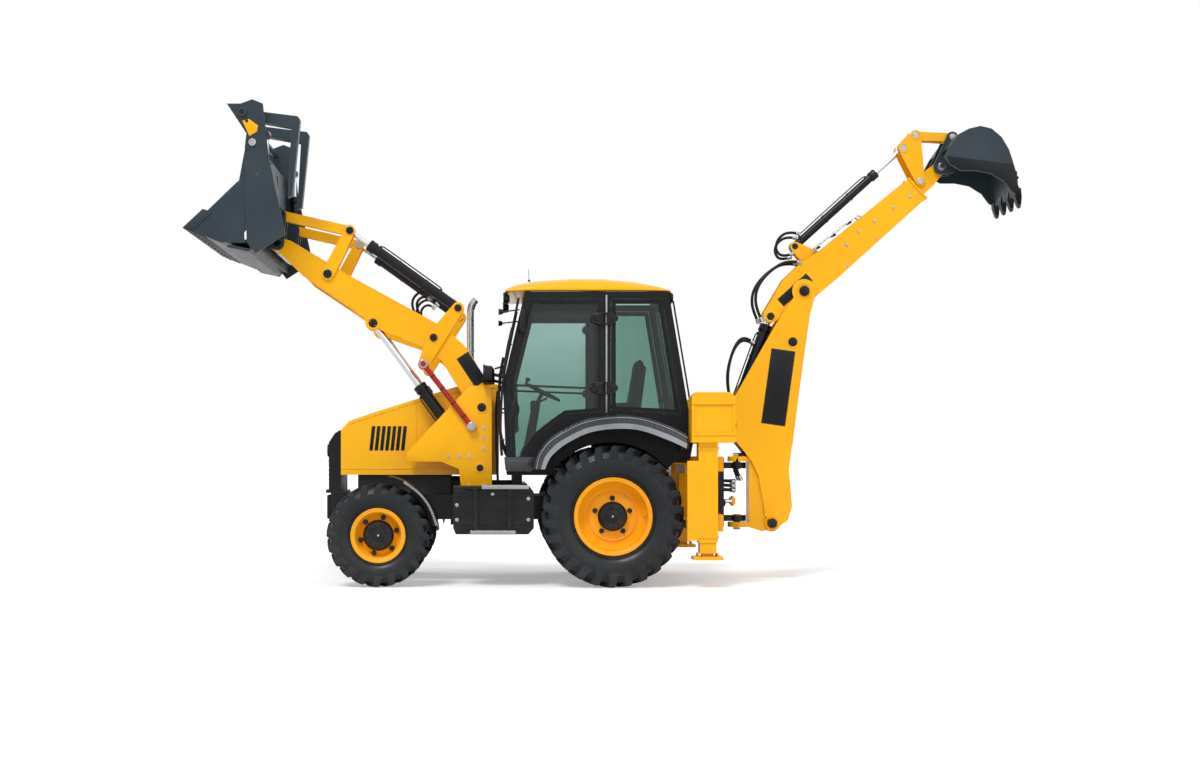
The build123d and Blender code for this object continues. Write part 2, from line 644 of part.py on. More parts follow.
pin_low = -ear_outer_face - ear_plate - 12
pin_high = -ear_inner_face + ear_plate + 12
cross_shaft_radius = 80
cross_shaft_bore = 66
with BuildPart() as cross_shaft:
    shaft_end = -pin_high - 6
    add(disc((0, 0), cross_shaft_radius, -shaft_end, shaft_end))
    add(disc((0, 0), cross_shaft_bore, -shaft_end + 12, shaft_end - 12), mode=Mode.SUBTRACT)
    for hand in (-1, 1):
        low_y, high_y = sorted((hand * (shaft_end - 4), hand * -pin_low))
        add(disc((0, 0), lever_pin_radius, low_y, high_y))


def shaft_at(centre):
    return cross_shaft.part.moved(Location((centre[0], 0, centre[1])))


keep("lever_pins", both_sides([
    shaft_at(lever_pivot_front),
    disc(lever_pivot_front, lever_pin_radius + 14, pin_high - 12 + running_gap, pin_high),
    disc(lever_pivot_front, lever_pin_radius + 14, pin_low, pin_low + 12 - running_gap),
]))
keep("bucket_pins", both_sides([
    shaft_at(bucket_pivot_front),
    disc(bucket_pivot_front, lever_pin_radius, pin_low - 8, pin_high + 8),
    disc(bucket_pivot_front, lever_pin_radius + 14, pin_high - 4 + running_gap, pin_high + 8),
    disc(bucket_pivot_front, lever_pin_radius + 14, pin_low - 8, pin_low + 4 - running_gap),
]))
lever_bore = lever_pin_radius + running_gap
keep("tilt_levers", both_sides(paired([(
    [(*tilt_rod_pin, 50), (*lever_pivot_front, 62)],
    [(*lever_pivot_front, lever_bore), (*tilt_rod_pin, link_pin_radius + running_gap)])])))

link_plate = 16
fork_low = -arm_outer + 2
fork_high = -arm_inner - 2
keep("link_pins", both_sides([
    disc(tilt_rod_pin, link_pin_radius, pin_low, fork_low + link_plate + 6),
    disc(tilt_rod_pin, link_pin_radius, fork_high - link_plate - 6, pin_high),
    disc(tilt_rod_pin, link_pin_radius + 14, pin_high - 12 + running_gap, pin_high),
    disc(tilt_rod_pin, link_pin_radius + 14, pin_low, pin_low + 12 - running_gap),
]))
link_discs = [(*tilt_rod_pin, 46), (*bucket_link_front, 46)]
link_bore = [(*tilt_rod_pin, link_pin_radius + running_gap)]
with BuildPart() as tilt_link:
    add(hull_plate(link_discs, fork_low, fork_low + link_plate, link_bore))
    add(hull_plate(link_discs, fork_high - link_plate, fork_high, link_bore))
    web = [(*along(bucket_link_front, tilt_rod_pin, 60), 40), (*along(bucket_link_front, tilt_rod_pin, 520), 40)]
    add(hull_plate(web, fork_low, fork_high))
    add(disc(bucket_link_front, 40, fork_low, fork_high))
keep("tilt_links", both_sides([tilt_link.part]))

# bucket shell, ears and side plates
side_plate = 16
jaw_gap = 6
jaw_y = bucket_half_width - side_plate - jaw_gap
shell_half_width = jaw_y - side_plate - jaw_gap
clam_pin_radius = 26
clam_ram_y = 1090
clam_ram_pin = 18
clam_ram_base = (-3285, 3490)
clam_ram_eye = (-3270, 4270)
shell_back = [
    (-3398, 4215), (-3370, 4205), (-3340, 3700), (-3345, 3420), (-3385, 3230), (-3440, 3170), (-3640, 3215),
    (-3640, 3240), (-3440, 3200), (-3408, 3250), (-3370, 3430), (-3366, 3700), (-3398, 4190),
]
bucket_side = [(-3453, 3262), (-3370, 3150), (-3087, 3332), (-3245, 4060), (-3300, 4560), (-3400, 4600), (-3510, 4560),
               (-3640, 4560), (-3560, 4440), (-3455, 4280), (-3470, 4150)]
with BuildPart() as loader_bucket:
    clam_bore = [(*clam_pivot, clam_pin_radius + running_gap)]
    add(both_sides([slab(bucket_side, -bucket_half_width, -bucket_half_width + side_plate, clam_bore)]))
    add(slab(shell_back, -shell_half_width, shell_half_width))
    add(slab([(-3392, 3222), (-3345, 3205), (-3335, 3420), (-3368, 3430)], -bucket_half_width, bucket_half_width))
    bracket = [(*clam_ram_base, 26), (-3350, 3455, 20)]
    brackets = [hull_plate(bracket, low_y, low_y + 10) for low_y in (-1140, -1050)]
    add(both_sides(brackets + [disc(clam_ram_base, clam_ram_pin, -1144, -1036)]))
    for hand in (-1, 1):
        for inner in (ear_inner_face - ear_plate, ear_outer_face):
            low_y, high_y = sorted((hand * (inner + (8 if inner > arm_outer else -8)),
                                    hand * (inner + ear_plate + (8 if inner > arm_outer else -8))))
            ear = hull_plate([(*bucket_pivot_front, 62), (*bucket_link_front, 58), (-3395, 3300, 20), (-3375, 3760, 20)],
                             low_y, high_y, [(*bucket_pivot_front, lever_bore)])
            add(ear)
    add(bar((fork_shaft[0], -bucket_half_width - 20, fork_shaft[1]),
            (fork_shaft[0], bucket_half_width + 20, fork_shaft[1]), 30))
keep("loader_bucket", loader_bucket.part)

jaw_side = [(-3476, 3262), (-3500, 3859), (-3549, 3824), (-3824, 3559), (-3866, 3572), (-4055, 3398), (-3692, 3262)]
jaw_arm = [(-3520, 3300), (-3530, 3830), (-3470, 4150), (-3398, 4250), (-3340, 4195), (-3420, 3900), (-3440, 3400)]
with BuildPart() as jaw:
    jaw_plates = [
        slab(jaw_side, -jaw_y, -jaw_y + side_plate),
        slab(jaw_arm, -jaw_y, -jaw_y + side_plate),
        hull_plate([(*clam_pivot, 60), (*clam_ram_eye, 34)], -jaw_y, -jaw_y + side_plate),
        disc(clam_ram_eye, 24, -jaw_y, -clam_ram_y - 28),
    ]
    add(both_sides(jaw_plates))
    add(slab([(-4055, 3398), (-4020, 3408), (-3692, 3284), (-3470, 3284), (-3470, 3256), (-3700, 3256)], -jaw_y, jaw_y))
    add(both_sides([disc(clam_pivot, clam_pin_radius, -bucket_half_width - 14, -jaw_y + side_plate)]))
keep("clam_jaw", jaw.part)

fork_ys = (-980, -200)
with BuildPart() as forks:
    for y in fork_ys:
        shank = [(fork_shaft[0] + 30, fork_shaft[1] + 48), (-2990, 4470), (-2968, 4440), (-3040, 3720), (-3085, 3700),
                 (-3050, 4360), (fork_shaft[0] + 30, fork_shaft[1] - 50)]
        add(slab(shank, y - 50, y + 50))
        add(disc(fork_shaft, 62, y - 50, y + 50))
        add(disc(fork_shaft, 30 + running_gap, y - 51, y + 51), mode=Mode.SUBTRACT)
keep("folding_forks", forks.part)

clam_barrel, clam_rod = ram(clam_ram_base, clam_ram_eye, -clam_ram_y, 22, clam_ram_pin, 34, 18, 182, 3)
keep("clam_ram_barrels", both_sides([clam_barrel]))
keep("clam_ram_rods", both_sides([clam_rod]))

# ---- rear frame and stabilisers ----------------------------------------------------------------------------------
frame_front = 690
frame_back = 798
column_back = 977
column_inner = 1008
column_outer = 1192
column_wall = 12
rail_front = 985             # the two cross rails on which the carriage slides
rail_back = 1045
upper_rail = (1100, 1240)
lower_rail = (530, 690)
box_outline = [(726, 1379), (726, 1800), (770, 1844), (1092, 1844), (1136, 1800), (1136, 1379)]

with BuildPart() as frame_side:
    add(block((frame_front, -column_outer, 560), (frame_back, -rail_inner, 640)))
    add(block((frame_front, -column_outer, 1080), (frame_back, -300, 1160)))
    add(block((frame_front, -420, 560), (frame_back, -300, 1160)))
    add(block((frame_front, -column_outer, 450), (frame_back, -1160, 1200)))
    add(block((rear_rail_end + running_gap, -rail_outer, rail_low), (frame_front + 5, -rail_inner, rail_high)))
    add(block((frame_back - 1, -column_outer, 430), (column_back, -column_inner, 1385)))
    add(slab(box_outline, -1240, -980))
    add(slab([(x + (14 if x < 900 else -14), z - 14) for x, z in box_outline if z > 1400] + [(1122, 1393), (740, 1393)],
             -1226, -994), mode=Mode.SUBTRACT)
    add(block((754, -1241, 1450), (1108, -1232, 1740)), mode=Mode.SUBTRACT)
    add(block((frame_back + column_wall, -column_outer + column_wall, 420),
              (column_back - column_wall, -column_inner - column_wall, 1400)), mode=Mode.SUBTRACT)
with BuildPart() as rear_frame:
    add(both_sides([frame_side.part]))
    for low_z, high_z in (upper_rail, lower_rail):
        add(block((rail_front, -column_inner - 60, low_z), (rail_back, column_inner + 60, high_z)))
    for hand in (-1, 1):
        low_y, high_y = sorted((hand * 960, hand * (column_inner + 60)))
        for low_z, high_z in (upper_rail, lower_rail):
            add(block((column_back - 5, low_y, low_z), (rail_front + 5, high_y, high_z)))
keep("rear_frame", rear_frame.part)

leg_faces = (frame_back + column_wall + running_gap, column_back - column_wall - running_gap)
leg_sides = (column_inner + column_wall + running_gap, column_outer - column_wall - running_gap)
for side, hand in (("left", -1), ("right", 1)):
    with BuildPart() as leg:
        low_y, high_y = sorted((hand * leg_sides[0], hand * leg_sides[1]))
        add(block((leg_faces[0], low_y, 330), (leg_faces[1], high_y, 1300)))
        add(block((leg_faces[0] + 14, low_y + 14, 360), (leg_faces[1] - 14, high_y - 14, 1310)), mode=Mode.SUBTRACT)
        low_y, high_y = sorted((hand * 985, hand * 1215))
        add(block((750, low_y, 272), (1025, high_y, 300)))
        low_y, high_y = sorted((hand * 1060, hand * 1140))
        add(block((830, low_y, 299), (945, high_y, 331)))
    keep(f"stabiliser_{side}", leg.part)

# ---- carriage and swinging post --------------------------------------------------------------------------------
swing_pin_radius = 35
lug_radius = 92


def flat_lug(reach, half_width, radius, low, high, bore=0):
    """A level plate from x = reach to an eye round the swing axis."""
    with BuildPart() as lug:
        with BuildSketch(Plane.XY.offset(low)):
            with Locations(((reach + swing_x) / 2, 0)):
                Rectangle(abs(swing_x - reach), 2 * half_width)
            with Locations((swing_x, 0)):
                Circle(radius)
                if bore:
                    Circle(bore, mode=Mode.SUBTRACT)
        extrude(amount=high - low)
    return lug.part


with BuildPart() as carriage:
    add(block((rail_back + running_gap, -250, 545), (1160, 250, 1225)))
    add(block((1085, -160, 700), (1170, 160, 1080)), mode=Mode.SUBTRACT)
    add(block((rail_back + running_gap, -230, 506), (rail_back + 30, 230, 1264)))
    for low_z, high_z in (upper_rail, lower_rail):
        for edge, lip in ((high_z + running_gap, high_z + 24), (low_z - 24, low_z - running_gap)):
            add(block((rail_front - running_gap - 22, -230, min(edge, lip)), (rail_back + 30, 230, max(edge, lip))))
        add(block((rail_front - running_gap - 22, -230, high_z - 30), (rail_front - running_gap, 230, high_z + 24)))
        add(block((rail_front - running_gap - 22, -230, low_z - 24), (rail_front - running_gap, 230, low_z + 30)))
    for low_z in (1120, 590):
        add(flat_lug(1150, 68, lug_radius, low_z, low_z + 60, swing_pin_radius + running_gap))
    for hand in (-1, 1):
        low_y, high_y = sorted((hand * 100, hand * 330))
        add(bar((1120, low_y, 780), (1120, high_y, 780), 48))
        low_y, high_y = sorted((hand * 160, hand * 200))
        add(block((1050, low_y, 730), (1160, high_y, 830)))
keep("sideshift_carriage", carriage.part)

post_half = 108
post_plate = 34
boom_pin_radius = 40
boom_ram_pin = 32
post_outline = [(1432, 1250), (1480, 1250), (1606, 1160), (1652, 946), (1700, 780), (1740, 620), (1720, 520),
                (1560, 490), (1432, 530)]
with BuildPart() as kingpost:
    for low_y in (-post_half, post_half - post_plate):
        add(slab(post_outline, low_y, low_y + post_plate))
        add(disc(boom_pivot, 86, low_y, low_y + post_plate))
        add(disc(boom_ram_base, 74, low_y, low_y + post_plate))
    add(block((1432, -post_half, 530), (1456, post_half, 1250)))
    add(slab([(1440, 530), (1560, 490), (1600, 498), (1600, 520), (1456, 556)], -post_half, post_half))
    for low_z in (1190, 530):
        add(flat_lug(1456, post_half, lug_radius, low_z, low_z + 50))
    add(bar((swing_x, 0, 1110), (swing_x, 0, 1262), swing_pin_radius))
    add(bar((swing_x, 0, 518), (swing_x, 0, 660), swing_pin_radius))
    add(disc(boom_pivot, boom_pin_radius, -158, 158))
    add(disc(boom_ram_base, boom_ram_pin, -post_half, post_half))
keep("kingpost", kingpost.part)

# ---- digging boom ------------------------------------------------------------------------------------------------
def in_boom(u, v):
    return along(boom_pivot, dipper_pivot, u, v)


def in_dipper(s, t):
    return along(dipper_pivot, dig_bucket_pivot, s, t)


boom_outer = boom_inner + boom_plate
boom_length = span(boom_pivot, dipper_pivot)
boom_outline = [
    (-28, -73), (51, -155), (199, -176), (359, -139), (559, -94), (794, -91), (1205, -86), (1642, -83), (2072, -86),
    (boom_length, -118), (2440, -60), (2450, 40), (2400, 100), (2284, 89), (1973, 237), (1722, 339), (1214, 539),
    (1004, 592), (837, 550), (699, 401), (581, 285), (458, 203), (188, 112), (61, 79),
]
boom_web = [(230, -168), (359, -137), (559, -92), (1985, -84), (1985, -64), (559, -72), (359, -117), (230, -148)]
dipper_pin_radius = 45
dipper_ram_pin = 32
with BuildPart() as boom:
    for low_y in (-boom_outer, boom_inner):
        bores = [(*boom_pivot, boom_pin_radius + running_gap)]
        add(slab([in_boom(u, v) for u, v in boom_outline], low_y, low_y + boom_plate, bores))
        add(disc(dipper_pivot, 120, low_y, low_y + boom_plate))
        add(disc(dipper_ram_base, 80, low_y, low_y + boom_plate))
    add(slab([in_boom(u, v) for u, v in boom_web], -boom_outer + 1, boom_outer - 1))
    for low_y in (-boom_inner - 1, 45):
        add(disc(boom_rod_pin, 50, low_y, low_y + boom_inner - 44))
    add(disc(dipper_pivot, dipper_pin_radius, -boom_outer - 16, boom_outer + 16))
    add(disc(dipper_ram_base, dipper_ram_pin, -boom_outer - 16, boom_outer + 16))
keep("boom", boom.part)

boom_barrel, boom_rod = ram(boom_ram_base, boom_rod_pin, 0, ram_eye, boom_ram_pin, 60, 36, 45, 505)
keep("boom_ram_barrel", boom_barrel)
keep("boom_ram_rod", boom_rod)

# ---- dipper ------------------------------------------------------------------------------------------------------
extension_side = 85
dipper_inner = extension_side + running_gap
dipper_outer = 105
flange = 1550
dipper_outline = [
    (-440, -25), (-475, 10), (-475, 70), (-430, 110), (-60, 225), (200, 230), (420, 190), (flange, 130),
    (flange, -130), (320, -130), (0, -118), (-120, -95),
]
extension_length = span(dipper_pivot, dig_bucket_pivot)
with BuildPart() as dipper:
    for low_y in (-dipper_outer, dipper_inner):
        plate = dipper_outer - dipper_inner
        add(slab([in_dipper(s, t) for s, t in dipper_outline], low_y, low_y + plate))
    add(slab([in_dipper(s, t) for s, t in [(90, -116), (flange, -116), (flange, -130), (320, -130), (90, -122)]],
             -dipper_outer, dipper_outer))
    for low_y in (-dipper_outer, 68):
        add(slab([in_dipper(s, t) for s, t in [(150, 92), (flange, 92), (flange, 106), (150, 106)]],
                 low_y, low_y + dipper_outer - 68))
    for low_y in (-dipper_outer, 45):
        add(disc(dipper_rod_pin, 46, low_y, low_y + dipper_outer - 45))
    for low_y in (-118, 96):
        add(slab([in_dipper(s, t) for s, t in [(flange - 18, -140), (flange, -140), (flange, 140), (flange - 18, 140)]],
                 low_y, low_y + 22))
    add(slab([in_dipper(s, t) for s, t in [(flange - 18, -140), (flange, -140), (flange, -117), (flange - 18, -117)]],
             -118, 118))
    add(disc(dipper_pivot, 76, -boom_inner + side_gap, boom_inner - side_gap))
    add(slab([in_dipper(s, t) for s, t in [(-60, 60), (-60, 76), (120, 106), (120, 92)]], -dipper_outer, dipper_outer))
    add(disc(dipper_pivot, dipper_pin_radius + running_gap, -boom_inner, boom_inner), mode=Mode.SUBTRACT)
keep("dipper", dipper.part)

dipper_barrel, dipper_rod = ram(dipper_ram_base, dipper_rod_pin, 0, ram_eye, dipper_ram_pin, 54, 32, 5, 635)
keep("dipper_ram_barrel", dipper_barrel)
keep("dipper_ram_rod", dipper_rod)

nose_half = 58
bucket_pin_radius = 30
tipping_radius = 28
with BuildPart() as extension:
    for t in (-85, 71):
        add(slab([in_dipper(s, t) for s, t in [(150, t), (1650, t), (1650, t + 14), (150, t + 14)]],
                 -extension_side, extension_side))
    for low_y in (-extension_side, extension_side - 14):
        add(slab([in_dipper(s, t) for s, t in [(150, -85), (1690, -85), (1690, 85), (150, 85)]], low_y, low_y + 14))
    add(slab([in_dipper(s, t) for s, t in [(1640, -85), (1640, 85), (1700, 85), (1850, 62), (1850, -62), (1700, -85)]],
             -nose_half, nose_half))
    add(slab([in_dipper(s, t) for s, t in [(1640, -85), (1640, 85), (1690, 85), (1690, -85)]],
             -extension_side, extension_side))
    add(disc(dig_bucket_pivot, 64, -nose_half, nose_half))
    add(disc(dig_bucket_pivot, bucket_pin_radius, -108, 108))
    add(disc(tipping_pivot, tipping_radius, -116, 116))
    for low_y in (-62, 46):
        add(hull_plate([(*bucket_ram_base, 46), (*in_dipper(200, 90), 16), (*in_dipper(420, 90), 16)],
                       low_y, low_y + 16))
    add(disc(bucket_ram_base, 26, -66, 66))
keep("dipper_extension", extension.part)

bucket_barrel, bucket_rod = ram(bucket_ram_base, tipping_rod_pin, 0, 36, 26, 40, 24, 278, 235)
keep("bucket_ram_barrel", bucket_barrel)
keep("bucket_ram_rod", bucket_rod)

# ---- digging bucket and its levers -------------------------------------------------------------------------------
lever_inner = 91
lever_plate = 16
lever_outline = [(*tipping_pivot, 47), (*tipping_rod_pin, 50), (*tipping_link_pin, 50)]
with BuildPart() as tipping_lever:
    for low_y in (-lever_inner - lever_plate, lever_inner):
        add(hull_plate(lever_outline, low_y, low_y + lever_plate, [(*tipping_pivot, tipping_radius + running_gap)]))
    for low_y, high_y in ((-lever_inner - 1, -44), (44, lever_inner + 1)):
        add(disc(tipping_rod_pin, 34, low_y, high_y))
    for low_y, high_y in ((-lever_inner - 1, -78), (78, lever_inner + 1)):
        add(disc(tipping_link_pin, 32, low_y, high_y))
    tie = along(tipping_pivot, tipping_rod_pin, 190, -10)
    add(disc(tie, 22, -lever_inner - 1, lever_inner + 1))
keep("tipping_lever", tipping_lever.part)

link_bar_radius = 24
with BuildPart() as bucket_link:
    add(hull_plate([(*tipping_link_pin, 42), (*dig_bucket_link, 42)], 44, 72))
    add(hull_plate([(*tipping_link_pin, 42), (*dig_bucket_link, 42)], -72, -44))
    add(slab([along(tipping_link_pin, dig_bucket_link, distance, offset)
              for distance, offset in ((90, -30), (280, -30), (280, 30), (90, 30))], -50, 50))
    add(disc(dig_bucket_link, link_bar_radius + running_gap, -80, 80), mode=Mode.SUBTRACT)
keep("bucket_link", bucket_link.part)

dig_half_width = 400
dig_side = [(3454, 4420), (3368, 4300), (3310, 4190), (3368, 4120), (3479, 4058), (3630, 4058), (3780, 4028),
            (3906, 3948), (3981, 3848), (4048, 3817), (4030, 4053), (4006, 4058), (3991, 4149), (3951, 4269),
            (3880, 4390), (3780, 4475), (3669, 4501), (3559, 4475)]
wrapper = [(3368, 4300), (3454, 4420), (3559, 4475), (3669, 4501), (3780, 4475), (3880, 4390), (3951, 4269),
           (3991, 4149), (4020, 4053), (4051, 3817), (4027, 3815), (3996, 4050), (3973, 4142), (3934, 4260),
           (3866, 4378), (3773, 4457), (3669, 4482), (3565, 4457), (3465, 4404), (3384, 4290)]
tooth = [(4056, 3850), (4023, 3846), (4020, 3800), (4050, 3700), (4064, 3700), (4070, 3800)]
ear_outline = [(*dig_bucket_pivot, 78), (*dig_bucket_link, 56), (3500, 4300, 60), (3480, 4130, 40)]
link_pocket = [(3300, 4200), (3420, 4200), (3530, 4380), (3530, 4520), (3300, 4520)]
with BuildPart() as dig_bucket:
    for low_y in (-dig_half_width, dig_half_width - 16):
        add(slab(dig_side, low_y, low_y + 16))
    add(slab(wrapper, -dig_half_width + 1, dig_half_width - 1))
    add(disc(dig_bucket_link, 66, -77, 77), mode=Mode.SUBTRACT)
    add(slab(link_pocket, -76, 76), mode=Mode.SUBTRACT)
    for low_y in (-96, 76):
        add(hull_plate(ear_outline, low_y, low_y + 20, [(*dig_bucket_pivot, bucket_pin_radius + running_gap)]))
    for y in (-365, -122, 122, 365):
        add(slab(tooth, y - 35, y + 35))
    add(disc(dig_bucket_link, link_bar_radius, -108, 108))
keep("dig_bucket", dig_bucket.part)


# ---- one frame and one file per piece --------------------------------------------------------------------------
lowest = min(piece.bounding_box().min.X for piece in pieces.values())
highest = max(piece.bounding_box().max.X for piece in pieces.values())
centring = Location((-(lowest + highest) / 2, 0, 0))
os.makedirs("parts", exist_ok=True)
for name, piece in pieces.items():
    placed = piece.moved(centring)
    placed.label = name
    export_step(placed, f"parts/{name}.step")
print("centring", round(-(lowest + highest) / 2, 3))
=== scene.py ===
import json
from math import atan2, cos, exp, hypot, pi, radians, sin

import bmesh
import bpy
from mathutils import Matrix, Vector


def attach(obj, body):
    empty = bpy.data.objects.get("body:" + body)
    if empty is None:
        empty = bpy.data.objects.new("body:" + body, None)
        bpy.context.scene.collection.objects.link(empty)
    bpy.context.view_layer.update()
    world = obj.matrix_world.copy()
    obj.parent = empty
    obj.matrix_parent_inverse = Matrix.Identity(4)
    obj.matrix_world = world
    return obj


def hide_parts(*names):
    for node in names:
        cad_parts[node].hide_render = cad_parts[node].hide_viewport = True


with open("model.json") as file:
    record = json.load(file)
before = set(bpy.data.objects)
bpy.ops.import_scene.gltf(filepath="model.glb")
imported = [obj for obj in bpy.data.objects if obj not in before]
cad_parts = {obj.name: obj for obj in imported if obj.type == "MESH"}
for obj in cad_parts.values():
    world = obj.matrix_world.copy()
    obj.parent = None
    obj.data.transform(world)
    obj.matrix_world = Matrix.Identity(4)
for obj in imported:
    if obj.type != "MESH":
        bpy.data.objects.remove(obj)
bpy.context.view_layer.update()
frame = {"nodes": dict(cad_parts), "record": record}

# sizes are in millimetres from the rear axle's middle on the ground; this turns them into the frame's metres
machineFrame = Matrix.Translation((-0.0075, 0, 0)) @ Matrix.Scale(0.001, 4)


def spot(x, y, z):
    return machineFrame @ Vector((x, y, z))


def fill(tree, inputs, values):
    # set each input to its value, or link it to its socket
    for key, value in values.items():
        if hasattr(value, "node"):
            tree.links.new(value, inputs[key])
        else:
            inputs[key].default_value = value


def addNode(tree, kind, values={}, **looks):
    made = tree.nodes.new("ShaderNode" + kind)
    for key, look in looks.items():
        setattr(made, key, look)
    fill(tree, made.inputs, values)
    return made


def mathNode(tree, kind, first, second, clamp=False):
    return addNode(tree, "Math", {0: first, 1: second}, operation=kind, use_clamp=clamp).outputs[0]


def spread(tree, value, low, high, to=(0.0, 1.0)):
    # the value's range from low to high stretched over another range
    return addNode(tree, "MapRange", {"From Min": low, "From Max": high, "To Min": to[0], "To Max": to[1],
                                      "Value": value}).outputs[0]


def noiseNode(tree, place, scale, detail, roughness=0.55):
    return addNode(tree, "TexNoise", {"Detail": detail, "Roughness": roughness, "Vector": place,
                                      "Scale": scale}).outputs["Fac"]


def mixColours(tree, share, first, second):
    return addNode(tree, "Mix", {0: share, 6: first, 7: second}, data_type="RGBA").outputs[2]


# the camera, the light and the floor
studio = {
    "cameraPlace": (-1.1055, -17.0, 1.264),
    "lens": 50.5,
    "sensor": 36,
    "farClip": 400,
    "shift": (0.0858, 0.0613),
    "skyLight": 0.62,
    # each sun's strength, its turn and its spread in degrees
    "suns": {"keyLight": (1.55, (38, 0, -24), 18), "fillLight": (0.35, (70, 0, 40), 60)},
    "floorSize": 120,
    "floorPlace": (0, 60, -0.001),
    "floorColour": (0.86, 0.86, 0.87, 1),
    "floorGlow": 0.32,
}


def placed(name, data, place=(0, 0, 0), turn=(0, 0, 0)):
    made = bpy.data.objects.new(name, data)
    made.location = place
    made.rotation_euler = [radians(a) for a in turn]
    bpy.context.scene.collection.objects.link(made)
    return made


def emptyTree(owner):
    owner.use_nodes = True
    owner.node_tree.nodes.clear()
    return owner.node_tree


def makeStudio():
    scene = bpy.context.scene
    scene.view_settings.view_transform = "Standard"
    lens = bpy.data.cameras.new("camera")
    lens.lens, lens.sensor_width, lens.clip_end = studio["lens"], studio["sensor"], studio["farClip"]
    lens.shift_x, lens.shift_y = studio["shift"]
    scene.camera = placed("camera", lens, studio["cameraPlace"], (90, 0, 0))
    for name, (strength, turn, wide) in studio["suns"].items():
        sun = bpy.data.lights.new(name, "SUN")
        sun.energy, sun.angle = strength, radians(wide)
        placed(name, sun, turn=turn)

    scene.world = bpy.data.worlds.new("studioWorld")
    tree = emptyTree(scene.world)
    ray = addNode(tree, "LightPath").outputs
    seen = mathNode(tree, "MAXIMUM", ray["Is Camera Ray"], ray["Is Glossy Ray"])
    seen = mathNode(tree, "MAXIMUM", seen, ray["Is Transmission Ray"])
    level = spread(tree, seen, 0.0, 1.0, (studio["skyLight"], 1.0))
    sky = addNode(tree, "Background", {"Color": (1, 1, 1, 1), "Strength": level})
    addNode(tree, "OutputWorld", {"Surface": sky.outputs[0]})

    ground = bmesh.new()
    bmesh.ops.create_grid(ground, x_segments=2, y_segments=2, size=studio["floorSize"])
    mesh = bpy.data.meshes.new("studioFloor")
    ground.to_mesh(mesh)
    ground.free()
    floor = placed("studioFloor", mesh, studio["floorPlace"])
    paint = bpy.data.materials.new("studioFloor")
    tree = emptyTree(paint)
    ray = addNode(tree, "LightPath").outputs
    level = spread(tree, ray["Is Camera Ray"], 0.0, 1.0, (0.0, studio["floorGlow"]))
    matt = addNode(tree, "BsdfDiffuse", {"Color": studio["floorColour"]})
    glow = addNode(tree, "Emission", {"Strength": level})
    both = addNode(tree, "AddShader", {0: matt.outputs[0], 1: glow.outputs[0]})
    addNode(tree, "OutputMaterial", {"Surface": both.outputs[0]})
    mesh.materials.append(paint)
    print("studio ready")


makeStudio()

wearSettings = {
    "inputs": {"Base": (0.5, 0.5, 0.5, 1), "Deep": (0.4, 0.4, 0.4, 1), "Worn": (0.6, 0.6, 0.6, 1),
               "Dust": (0.45, 0.4, 0.33, 1), "Drift Scale": 1.2, "Grain Scale": 160.0, "Edge Amount": 0.5,
               "Dust Amount": 0.2, "Rough Low": 0.3, "Rough High": 0.5, "Grain Height": 0.1},
    "outputs": {"Colour": "Color", "Roughness": "Float", "Normal": "Vector"},
    "edgeRadius": 0.007,
    "reliefDepth": 0.0012,
    "scratchScale": (3, 22, 34),
    "scratchTurn": (0.2, 0.5, 0.1),
}


